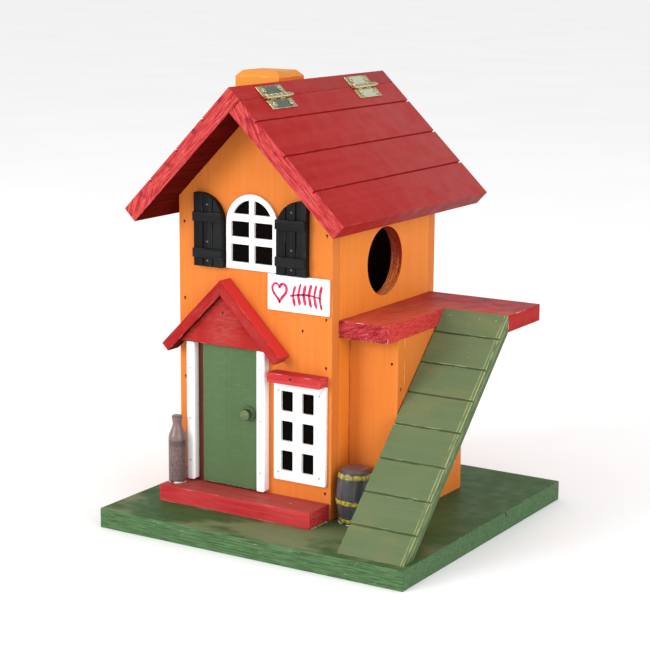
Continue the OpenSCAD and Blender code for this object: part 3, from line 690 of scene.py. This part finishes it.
def rake_wear(s, colour, height):
    """The top is brightened as a painted highlight, and the front has bluish scuffs."""
    colour, height = brushed(s, colour, height)
    scuff = s.times(s.step(s.noise(s.stretched(X, 0.3), 0.35, 4, 0.65), 0.5, 0.66), 0.35)
    colour = s.mix(scuff, colour, (0.25, 0.055, 0.07))
    # Painted highlight on the top face.
    on_top = s.step(s.faces(Z), 0.5, 0.8)
    return s.mix(on_top, colour, (0.62, 0.042, 0.036)), height


def step_wear(s, colour, height):
    """The step's top is walked dull, and its ends are rough with pale flecks."""
    on_top = s.step(s.faces(Z), 0.7, 0.9)
    dull = s.mix(s.noise(s.stretched(X, 0.1), 0.3, 4), (0.3, 0.032, 0.027), (0.46, 0.085, 0.07))
    colour, height = brushed(s, colour, height)
    at_end = s.step(s.absolute(s.faces(X)), 0.7, 0.9)
    rough = s.mix(s.noise(s.board, 0.9, 4, 0.7), (0.44, 0.012, 0.015), (0.74, 0.062, 0.06))
    fleck = s.step(s.noise(s.board, 1.5, 3, 0.6), 0.57, 0.64)
    rough = s.tint(rough, (0.7, 0.36, 0.33), fleck, 0.6)
    colour = s.mix(at_end, colour, rough)
    return s.mix(on_top, colour, dull), height


def dress_red_trim():
    platform = dict(RED, worn=(0.78, 0.42, 0.4), end=((0.25, 0.011, 0.018), (0.46, 0.058, 0.06)))
    trims = (("platform_board", "red_platform", Y, 0.45, landing, platform),
             ("door_step", "red_step", X, 0.6, step_wear, BRIGHT_RED),
             ("lower_window_lintel", "red_lintel", X, 0.6, lintel_wear, BRIGHT_RED),
             ("gable_panel", "red_panel", X, 0.5, panel_wear, RED))
    for node, name, along, streaks, change, look in trims:
        paint(node, "red_paint", 0.4, name, along=along, streaks=streaks, change=change, **look)
    for node, side in (("gable_left_board", -1), ("gable_right_board", 1)):
        paint(node, "red_paint", 0.4, "red_" + node, along=X, turn=(0, -side * GABLE_PITCH, 0),
              streaks=0.6, change=rake_wear, **RED)


def base_wear(s, colour, height):
    """Streaky lighter edges, black knots in the front one and dusty patches on the top."""
    low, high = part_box("base_plate")
    front, top = low.y / MM, high.z / MM
    faces_out = s.below(s.at(Z), top - 0.1)
    streak = s.noise(s.stretched(X, 0.05), 1.3, 5, 0.7)
    side = s.mix(s.step(streak, 0.36, 0.62), (0.042, 0.086, 0.034), (0.096, 0.18, 0.08))
    flake = s.step(s.noise(s.stretched(X, 0.2), 0.9, 3), 0.66, 0.7)
    side = s.tint(side, (0.2, 0.32, 0.18), flake, 0.6)
    knot = s.step(s.noise(s.stretched(X, 0.45), 0.16, 1), 0.745, 0.765)
    side = s.mix(knot, side, (0.012, 0.02, 0.012))
    colour = s.mix(faces_out, colour, side)
    dust = s.times(s.step(s.noise(s.stretched(X, 0.5), 0.045, 3), 0.45, 0.6), s.minus(1.0, faces_out))
    near_front = s.step(s.at(Y), front + 60, front + 20)
    colour = s.tint(colour, (0.2, 0.222, 0.11), dust, near_front, 0.7)
    return colour, s.plus(height, s.times(streak, faces_out, 3.0))


def ramp_slope():
    low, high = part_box("ramp")
    return math.atan2(high.z - low.z, high.y - low.y)


def ramp_wear(s, colour, height):
    """Yellowish stains, a darker right side face, and broken pale lines along the right edge and side."""
    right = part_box("ramp")[1].x / MM
    surface = max(point.z for point in board_points("ramp", -ramp_slope(), "X"))
    stain = s.step(s.noise(s.stretched(X, 0.5), 0.07, 3), 0.52, 0.66)
    colour = s.tint(colour, (0.2, 0.175, 0.07), stain, 0.3)
    speck = s.step(s.noise(s.board, 0.8, 2), 0.72, 0.76)
    colour = s.tint(colour, (0.33, 0.37, 0.19), speck, 0.5)
    across = s.minus(right, s.at(X))
    wobble = s.times(s.minus(s.noise(s.stretched(Y, 0.3), 0.3, 2), 0.5), 0.5)
    depth = s.minus(surface, s.axis(s.board, Z))
    broken = s.step(s.noise(s.stretched(Y, 0.12), 0.9, 3), 0.38, 0.54)
    shallow = s.below(depth, 0.5)
    side = s.step(s.faces(X), 0.7, 0.9)
    colour = s.tint(colour, (0.06, 0.105, 0.04), side, 0.75)
    for start, measure, where in ((1.9, across, shallow), (0.25, across, shallow), (0.3, depth, side),
                                  (2.1, depth, side), (3.4, depth, side)):
        off = s.absolute(s.minus(s.plus(measure, wobble), start))
        line = s.times(s.step(off, 0.36, 0.22), broken, where)
        colour = s.tint(colour, (0.36, 0.39, 0.17), line, 0.6)
    return colour, height


def door_strokes(s, colour, height):
    """Fine level brush marks across the door."""
    fine = s.noise(s.stretched(X, 0.08), 1.6, 4, 0.7)
    colour = s.mix(s.step(fine, 0.54, 0.72, 0, 0.3), colour, (0.17, 0.25, 0.14))
    return colour, s.plus(height, s.times(fine, 2.0))


def dress_greens():
    paint("base_plate", "green_paint", 0.5, "green_base", along=X, streaks=0.3, blotch=0.4, flecks=0.01,
          change=base_wear, **GREEN)
    paint("ramp", "sage_paint", 0.35, "sage_ramp", along=X, turn=(-ramp_slope(), 0, 0), streaks=0.3,
          grime=0.1, change=ramp_wear, **SAGE)
    door = dict(SAGE, base=(0.08, 0.135, 0.06), dark=(0.066, 0.115, 0.05), light=(0.094, 0.154, 0.072))
    paint("door", "sage_paint", 0.3, "green_door", along=Z, streaks=0.35, change=door_strokes, **door)
    turned = dict(door, base=(0.021, 0.04, 0.016), dark=(0.016, 0.032, 0.013),
                  light=(0.031, 0.056, 0.023), shine=0.14, gloss=(0.3, 0.45))
    dress("door_knob", [painted_wood("green_knob", along=Y, streaks=0.3, **turned)], 0)


def dress_white_trim():
    white = dict(base=(0.86, 0.86, 0.85), dark=(0.8, 0.8, 0.79), light=(0.88, 0.88, 0.87),
                 worn=(0.9, 0.9, 0.89), along=Z, streaks=0.3, depth=0.02)
    look = both("white_trim", **white)
    for node in ("door_post_left", "door_post_right"):
        dress(node, look, 0)
    dress("sign_board", look, 0.4)
    for node in ("lower_window_frame", "arch_window_frame"):
        dress(node, look, 0.3, 0)


def dress_shutters():
    black = dict(base=(0.007, 0.007, 0.008), dark=(0.004, 0.004, 0.004), light=(0.014, 0.015, 0.016),
                 worn=(0.045, 0.045, 0.045), along=Z, streaks=0.8, depth=0.1, shine=0.08)
    upright = both("black_boards", **black)
    level = both("black_battens", **dict(black, along=X, base=(0.011, 0.011, 0.012)))
    for side in ("left", "right"):
        dress(side + "_shutter", upright)
        dress(side + "_shutter_battens", level)


def coats(s, colour, height):
    """Smooth darker paint on the neck and shoulder, and rough paler paint on the body."""
    foot, shoulder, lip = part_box("bottle")[0].z / MM, 25.2, 37.2
    up = s.minus(s.at(Z), foot)
    wave = s.noise(s.place, 0.25, 2)
    line = s.plus(up, s.times(wave, 1.5))
    rough = s.noise(s.place, 1.3, 5, 0.75)
    body = s.mix(s.step(rough, 0.35, 0.65), (0.07, 0.038, 0.036), (0.24, 0.15, 0.145))
    body = s.mix(s.step(up, 14, 3, 0, 0.35), body, (0.085, 0.055, 0.055))
    low = s.step(line, shoulder + 0.4, shoulder - 0.4)
    colour = s.mix(low, colour, body)
    waist = s.times(s.step(line, 20.5, 23.0), s.step(line, shoulder + 0.6, shoulder - 0.4, 0, 0.6))
    colour = s.mix(waist, colour, (0.055, 0.04, 0.038))
    colour = s.mix(s.step(up, lip - 0.6, lip + 0.6, 0, 0.6), colour, (0.09, 0.055, 0.05))
    colour = s.mix(s.step(up, 1.6, 0.4), colour, (0.07, 0.035, 0.03))
    return colour, s.plus(height, s.times(rough, low, 3.0))


def staves(s, colour, height):
    """Dark staves between yellow painted hoops, and a purplish brown lid."""
    low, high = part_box("barrel")
    middle = (low + high) / 2
    hoops, hoop_width = (0.6, 11.0, 25.2), 3.7
    stave_count = 14
    up = s.minus(s.at(Z), low.z / MM)
    dx = s.minus(s.at(X), middle.x / MM)
    dy = s.minus(s.at(Y), middle.y / MM)
    angle = s.math("ARCTAN2", dy, dx)
    stave = s.absolute(s.math("SINE", s.times(angle, stave_count / 2)))
    colour = s.mix(s.step(stave, 0.0, 0.25, 0.45, 0.0), colour, (0.02, 0.02, 0.024))
    hand = s.times(s.minus(s.noise(s.place, 0.35, 3), 0.5), 1.6)
    line = s.plus(up, hand)
    patch = s.noise(s.place, 0.5, 3)
    yellow = s.mix(s.step(patch, 0.35, 0.65), (0.16, 0.125, 0.02), (0.52, 0.43, 0.045))
    for foot in hoops:
        rise = s.step(line, foot + 0.5, foot + 1.0)
        fall = s.step(line, foot + hoop_width - 0.3, foot + hoop_width - 0.8)
        colour = s.tint(colour, yellow, rise, fall)
    is_lid = s.step(s.faces(Z), 0.6, 0.85)
    lid = s.mix(s.noise(s.stretched(X, 0.1), 0.8, 4), (0.085, 0.045, 0.042), (0.2, 0.125, 0.12))
    return s.mix(is_lid, colour, lid), height


def dress_turned():
    brown = painted_wood("brown_bottle", (0.19, 0.112, 0.105), (0.14, 0.08, 0.074), (0.25, 0.16, 0.15), Z,
                         gloss=(0.25, 0.4), shine=0.45, change=coats)
    dress("bottle", [brown], 0)
    grey = painted_wood("grey_barrel", (0.038, 0.037, 0.039), (0.023, 0.022, 0.024), (0.092, 0.09, 0.098),
                        Z, streaks=0.8, gloss=(0.22, 0.34), shine=0.35, change=staves)
    dress("barrel", [grey], 0)


def two_tone(name, dark, light, scale, roughness, depth, detail=3, sharp=True, metallic=0.0,
             specular=0.22):
    """Cloudy patches of two tones, with the roughness and the bumps that go with them."""
    s = Shader(name)
    s.put(metallic, s.bsdf.inputs["Metallic"])
    s.put(specular, s.bsdf.inputs["Specular IOR Level"])
    tone = s.noise(s.place, scale, detail)
    share = s.step(tone, 0.35, 0.65) if sharp else tone
    shine = s.noise(s.place, 1.4, 3) if metallic else tone
    return s.finish(s.mix(share, dark, light), s.step(shine, 0.3, 0.7, *roughness), tone, depth)


def metal(name, colour, dark, roughness):
    return two_tone(name, dark, colour, 0.8, roughness, 0.02, metallic=1.0)


def leaf_metal(name, middle, rim, screws):
    """A plate whose middle and rim tones are painted reflections, with dark rings round the screws and
    pale brass on its sides and knuckles.
    """
    s = Shader(name, (0, -LID_PITCH, 0))
    s.put(1.0, s.bsdf.inputs["Metallic"])
    tarnish_and_reflection = s.noise(s.board, 0.35, 3, 0.5)
    uneven = s.times(s.minus(tarnish_and_reflection, 0.5), 6.0)
    # Painted reflection: patches of the middle tone over the rim tone, and bands of it between the
    # screws.
    colour = s.mix(s.step(tarnish_and_reflection, 0.35, 0.65, 0, 0.35), rim, middle)
    for first, last in screws:
        for share in (0.2, 0.5, 0.8):
            away = s.plus(s.distance(first.lerp(last, share)), uneven)
            colour = s.mix(s.step(away, 4.6, 3.0), colour, middle)
    for screw in sum(screws, []):
        ring = s.times(s.step(s.distance(screw), 2.6, 1.9), 0.7)
        colour = s.mix(ring, colour, (0.2, 0.17, 0.08))
    turned = s.step(s.faces(Z), 0.85, 0.6)
    pits = s.step(s.noise(s.board, 1.1, 3), 0.52, 0.62, 0, 0.65)
    colour = s.mix(turned, colour, s.mix(pits, (0.86, 0.74, 0.42), (0.14, 0.105, 0.035)))
    return s.finish(colour, s.step(s.noise(s.board, 1.4, 3), 0.3, 0.7, 0.12, 0.24), tarnish_and_reflection, 0.02)


def trim_nail_paint():
    """Each nail takes its tone from the trim that it holds, which its height and place tell."""
    s = Shader("trim_nail_paint")
    grain = s.noise(s.place, 1.7, 3)
    white = s.mix(grain, (0.3, 0.29, 0.28), (0.62, 0.61, 0.59))
    dark = s.mix(grain, (0.1, 0.008, 0.008), (0.22, 0.02, 0.02))
    pink = s.mix(grain, (0.5, 0.12, 0.1), (0.72, 0.3, 0.27))
    grey = s.mix(grain, (0.05, 0.045, 0.035), (0.16, 0.14, 0.11))
    height = s.at(Z)
    lintel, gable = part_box("lower_window_lintel"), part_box("gable_panel")
    above_step = 21
    colour = s.mix(s.step(height, above_step, above_step + 1), pink, white)
    above_frame = s.over(height, lintel[0].z / MM)
    right_of_door = s.over(s.at(X), gable[1].x / MM)
    colour = s.tint(colour, dark, above_frame, right_of_door)
    colour = s.mix(s.over(height, gable[0].z / MM + 5), colour, dark)
    colour = s.mix(s.over(height, gable[1].z / MM + 5), colour, grey)
    return s.finish(colour, s.step(grain, 0.3, 0.7, 0.45, 0.65), grain, 0.03)


def dress_metal():
    edge = metal("brass_edge", (0.95, 0.84, 0.48), (0.62, 0.48, 0.22), (0.2, 0.35))
    brass = metal("brass_screw", (0.92, 0.86, 0.62), (0.5, 0.42, 0.24), (0.18, 0.3))
    steel = metal("steel_pin", (0.74, 0.62, 0.44), (0.46, 0.38, 0.28), (0.2, 0.4))
    # Painted reflections: the front plate's middle is dark and the rear plate's middle pale.
    tones = {"front": ((0.1, 0.125, 0.09), (0.38, 0.36, 0.2)),
             "rear": ((0.53, 0.56, 0.4), (0.26, 0.235, 0.115))}
    pairs = {"front": [], "rear": []}
    for side in ("fixed", "lid"):
        heads = sorted(map(centre_of, islands("hinge_screws_" + side)), key=lambda place: place.y)
        pairs["front"].append(heads[:2])
        pairs["rear"].append(heads[2:])
        dress("hinge_screws_" + side, [brass], 0.15, 0)
    for which, (middle, rim) in tones.items():
        plate = [leaf_metal(which + "_hinge_plate", middle, rim, pairs[which]), edge]
        for leaf in ("fixed", "lid"):
            dress(f"{which}_hinge_{leaf}_leaf", plate, 0.22, 0.2)
        dress(f"{which}_hinge_pin", [steel], 0.08, 0)
    rust = metal("nail_head", (0.1, 0.055, 0.035), (0.05, 0.02, 0.015), (0.5, 0.7))
    for node in ("wall_nails", "base_nails", "annex_nails"):
        dress(node, [rust], 0)
    for node, filler in (("roof_nails", (0.36, 0.05, 0.045)), ("ramp_nails", (0.3, 0.33, 0.2))):
        worn = tuple(c * 0.6 for c in filler)
        dress(node, [two_tone(node[:-1] + "_paint", worn, filler, 1.7, (0.5, 0.7), 0.03)], 0)
    dress("trim_nails", [trim_nail_paint()], 0)


def dress_inside():
    # The nest floor is bare wood darkened as painted shade inside the closed box.
    paint("nest_floor", "bare_wood", 0.3, "shaded_bare_floor", base=(0.06, 0.034, 0.018),
          dark=(0.04, 0.02, 0.01), light=(0.09, 0.055, 0.03), worn=(0.1, 0.06, 0.03), along=Y)


# -------- pieces that paint and glue add

def window_panes():
    """The black painted fields behind the bars of both windows."""
    black = two_tone("pane_black", (0.001, 0.001, 0.001), (0.006, 0.004, 0.003), 0.3, (0.7, 0.9), 0.02,
                     sharp=False, specular=0.01)
    windows = {"lower_window_frame": "lower_window_panes", "arch_window_frame": "attic_window_panes"}
    for node, name in windows.items():
        bm = bmesh.new()
        for outline in window_openings(node):
            add_plate(bm, outline, FRONT - 0.02 * MM, FRONT - 0.12 * MM)
        new_piece(name, bm, black)


def brush_stroke(bm, points, width, lift, rng):
    """A flat stroke along points (x, z) at y = lift. It starts full, thins out at its end and wavers."""
    count, thick = len(points), 0.07 * MM
    rings = []
    for i, (x, z) in enumerate(points):
        before, after = points[max(i - 1, 0)], points[min(i + 1, count - 1)]
        along = Vector((after[0] - before[0], after[1] - before[1])).normalized()
        fullness = math.sin(math.pi * min(1.0, 0.2 + 0.8 * i / count)) ** 0.7
        half = width * (0.35 + 0.65 * fullness) * rng.uniform(0.85, 1.15) / 2
        section = ((-1, 0), (-0.7, thick), (0.7, thick), (1, 0))
        rings.append([(x - k * along.y * half, lift - d, z + k * along.x * half) for k, d in section])
    add_loft(bm, rings)


def sign_motif():
    """A heart and a leafy sprig, painted by hand where the sign has its picture."""
    rng = random.Random(5)
    low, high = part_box("sign_board")
    width, height = high.x - low.x, high.z - low.z
    bm = bmesh.new()

    def at(u, v):
        return low.x + u * width, low.z + v * height

    heart = []
    for i in range(41):
        t = math.tau * i / 40
        across = 16 * math.sin(t) ** 3 / 17
        up = (13 * math.cos(t) - 5 * math.cos(2 * t) - 2 * math.cos(3 * t) - math.cos(4 * t)) / 17
        heart.append(at(0.2 + 0.125 * across, 0.54 + 0.3 * up))
    brush_stroke(bm, heart, 1.8 * MM, low.y, rng)

    def stem(t):
        return 0.37 + 0.52 * t, 0.42 + 0.1 * math.sin(2.6 * t + 0.2)

    brush_stroke(bm, [at(*stem(i / 20)) for i in range(21)], 1.3 * MM, low.y, rng)
    leaves = 6
    for i in range(leaves):
        u, v = stem((i + 0.6) / leaves)
        for side in (1, -1):
            reach = rng.uniform(0.25, 0.33) * side
            lean = rng.uniform(0.035, 0.05)
            leaf = [at(u + lean * (k / 8), v + reach * math.sin(0.5 * math.pi * k / 8)) for k in range(9)]
            brush_stroke(bm, leaf, rng.uniform(1.5, 2.0) * MM, low.y, rng)
    red = two_tone("sign_red", (0.38, 0.008, 0.045), (0.66, 0.045, 0.14), 0.5, (0.5, 0.7), 0.03, 4)
    new_piece("sign_motif", bm, red)


def add_mark(bm, centre, out, radius, tail, lean):
    """The stain round a punched nail: a thin drop that hangs from the nail."""
    across = UP.cross(out).normalized()
    points = []
    for i in range(20):
        a = math.tau * i / 20
        low = max(0.0, -math.sin(a)) ** 3
        aside = math.cos(a) * radius * (1 - 0.55 * low) + lean * low
        points.append(centre + across * aside + UP * (math.sin(a) * radius - tail * low))
    add_loft(bm, [[p + out * lift for p in points] for lift in (0.01 * MM, 0.05 * MM)])


def nail_marks():
    rng = random.Random(11)
    bm = bmesh.new()
    middle_y = sum(corner.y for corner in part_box("front_wall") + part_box("back_wall")) / 4
    boards = {"wall_nails": ("front_wall", "back_wall"), "annex_nails": ("annex_front", "annex_back")}
    for node, (front_board, back_board) in boards.items():
        for points in islands(node):
            low, high = span(points)
            centre, size = (low + high) / 2, high - low
            if size.x > size.y:
                out = Vector((1, 0, 0))
                centre.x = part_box("annex_side")[1].x
            elif centre.y < middle_y:
                out = Vector((0, -1, 0))
                centre.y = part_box(front_board)[0].y
            else:
                out = Vector((0, 1, 0))
                centre.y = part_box(back_board)[1].y
            add_mark(bm, centre, out, rng.uniform(0.6, 0.78) * MM, rng.uniform(0.2, 1.2) * MM,
                     rng.uniform(-0.5, 0.5) * MM)
    stain = two_tone("nail_stain", (0.02, 0.004, 0.003), (0.1, 0.015, 0.008), 1.5, (0.6, 0.8), 0.03,
                     sharp=False)
    new_piece("nail_marks", bm, stain)


def add_bead(bm, path, rng, closed=True):
    """A bead of glue along pairs of a point and its outward direction, thick and thin by turns."""
    section = 6
    waves = [(k, rng.uniform(0.1, 0.35), rng.uniform(0, math.tau)) for k in (2, 3, 5, 8)]
    rings = []
    for i, (point, outward) in enumerate(path):
        a = math.tau * i / len(path)
        swell = 0.55 + sum(size * math.sin(k * a + phase) for k, size, phase in waves)
        thick = max(0.12, swell) * MM
        ring = []
        for j in range(section):
            b = math.pi * j / (section - 1)
            away = thick * (1 + math.cos(b)) * 0.75 - 0.25 * MM
            lift = 0.02 * MM + thick * math.sin(b) * 0.8
            ring.append(point + outward * away + UP * lift)
        rings.append(ring)
    add_loft(bm, rings, closed)


def glue():
    """Glue round the feet of the bottle and the barrel, and along the foot of the step's right end."""
    rng = random.Random(3)
    look = dict(scale=0.6, roughness=(0.3, 0.5), depth=0.1, detail=4, sharp=False)
    dry = two_tone("dry_glue", (0.52, 0.5, 0.4), (0.8, 0.79, 0.7), **look)
    for node in ("bottle", "barrel"):
        low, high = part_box(node)
        foot = Vector(((low.x + high.x) / 2, (low.y + high.y) / 2, low.z))
        bottom = [v.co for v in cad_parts[node].data.vertices if v.co.z < low.z + 0.1 * MM]
        radius = max(p.x for p in bottom) - foot.x
        outs = [Vector((math.cos(math.tau * i / 60), math.sin(math.tau * i / 60), 0)) for i in range(60)]
        bm = bmesh.new()
        add_bead(bm, [(foot + out * radius, out) for out in outs], rng)
        new_piece(node + "_glue", bm, dry, smooth=True)
    low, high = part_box("door_step")
    steps = 40
    places = [low.y + (high.y - low.y) * (0.04 + 0.9 * i / steps) for i in range(steps)]
    bm = bmesh.new()
    add_bead(bm, [(Vector((high.x, y, low.z)), Vector((1, 0, 0))) for y in places], rng, closed=False)
    smear = two_tone("green_glue", (0.13, 0.18, 0.09), (0.36, 0.42, 0.28), **look)
    new_piece("step_glue", bm, smear, smooth=True)


def ridge_seam():
    """A ragged skin of paint on the lid's ridge end, which all but closes the joint there."""
    points = board_points("roof_lid", -LID_PITCH)
    (_, front, _), (_, back, top) = span(points)
    edge = min(point.x for point in points if point.z > top - 0.1)
    free = [front + 0.4]
    for hinge in ("front_hinge_lid_leaf", "rear_hinge_lid_leaf"):
        low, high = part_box(hinge)
        free += [low.y / MM - 0.5, high.y / MM + 0.5]
    free.append(back - 0.4)
    upright = Matrix.Rotation(LID_PITCH, 3, "Y")
    rng = random.Random(31)
    bm = bmesh.new()
    for start, end in zip(free[::2], free[1::2]):
        rings = []
        steps = max(2, round((end - start) / 0.8))
        for i in range(steps + 1):
            y = start + (end - start) * i / steps
            reach, sink = rng.uniform(0.19, 0.27), rng.uniform(0.03, 0.08)
            outer = edge - reach
            outline = ((edge + 0.1, -sink), (outer, -sink - 0.05), (outer, -0.5), (edge + 0.1, -0.6))
            rings.append([upright @ Vector((x, y, top + z)) * MM for x, z in outline])
        add_loft(bm, rings)
    red = painted_wood("red_seam", along=Y, turn=(0, -LID_PITCH, 0), grime=0.0, **RED)
    new_piece("ridge_seam", bm, red, "lid")


def door_shadow_strip():
    """The dark red-brown strip between the left post and the door: painted shadow on the wall beside the
    post.
    """
    post, door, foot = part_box("door_post_left"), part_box("door"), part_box("door_step")[1].z
    bm = bmesh.new()
    sill = door[0].z
    corners = ((post[0].x, foot), (door[1].x, foot), (door[1].x, sill), (door[0].x, sill),
               (door[0].x, door[1].z), (post[1].x, door[1].z), (post[1].x, sill), (post[0].x, sill))
    add_plate(bm, [Vector((x, 0, z)) for x, z in corners], FRONT - 0.02 * MM, FRONT - 0.4 * MM)
    # Painted shadow beside the left post.
    look = painted_wood("door_shadow_strip", (0.1, 0.018, 0.01), (0.06, 0.01, 0.006), (0.16, 0.03, 0.015), Z)
    new_piece("door_shadow_strip", bm, look)


def screw_slots():
    """A dark cross on each hinge screw's head: painted shade that stands in for the cross recess."""
    s = Shader("screw_recess_shade")
    tone = s.noise(s.place, 2, 2)
    # The dark cross is painted shade.
    dark = s.finish(s.mix(tone, (0.02, 0.015, 0.01), (0.07, 0.05, 0.03)), s.step(tone, 0, 1, 0.5, 0.7))
    out = Vector((math.sin(LID_PITCH), 0, math.cos(LID_PITCH)))
    down = Vector((math.cos(LID_PITCH), 0, -math.sin(LID_PITCH)))
    rng = random.Random(8)
    for side, body in (("fixed", "house"), ("lid", "lid")):
        bm = bmesh.new()
        for points in islands("hinge_screws_" + side):
            top = max(p.dot(out) for p in points)
            centre = centre_of([p for p in points if p.dot(out) > top - 0.1 * MM])
            start = rng.uniform(0, math.pi / 2)
            for a in (start, start + math.pi / 2):
                along = down * math.cos(a) + Vector((0, 1, 0)) * math.sin(a)
                across = along.cross(out)
                corners = [(-0.95, -0.2), (0.95, -0.2), (0.95, 0.2), (-0.95, 0.2)]
                slot = [centre + (along * u + across * v) * MM for u, v in corners]
                add_loft(bm, [[p + out * lift for p in slot] for lift in (0.0, 0.03 * MM)])
        new_piece("hinge_screw_slots_" + side, bm, dark, body)


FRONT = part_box("front_wall")[0].y

make_camera()
make_floor()
make_lights()
dress_walls()
dress_roof()
dress_red_trim()
dress_greens()
dress_white_trim()
dress_shutters()
dress_turned()
dress_metal()
dress_inside()
window_panes()
sign_motif()
nail_marks()
glue()
door_shadow_strip()
screw_slots()
ridge_seam()
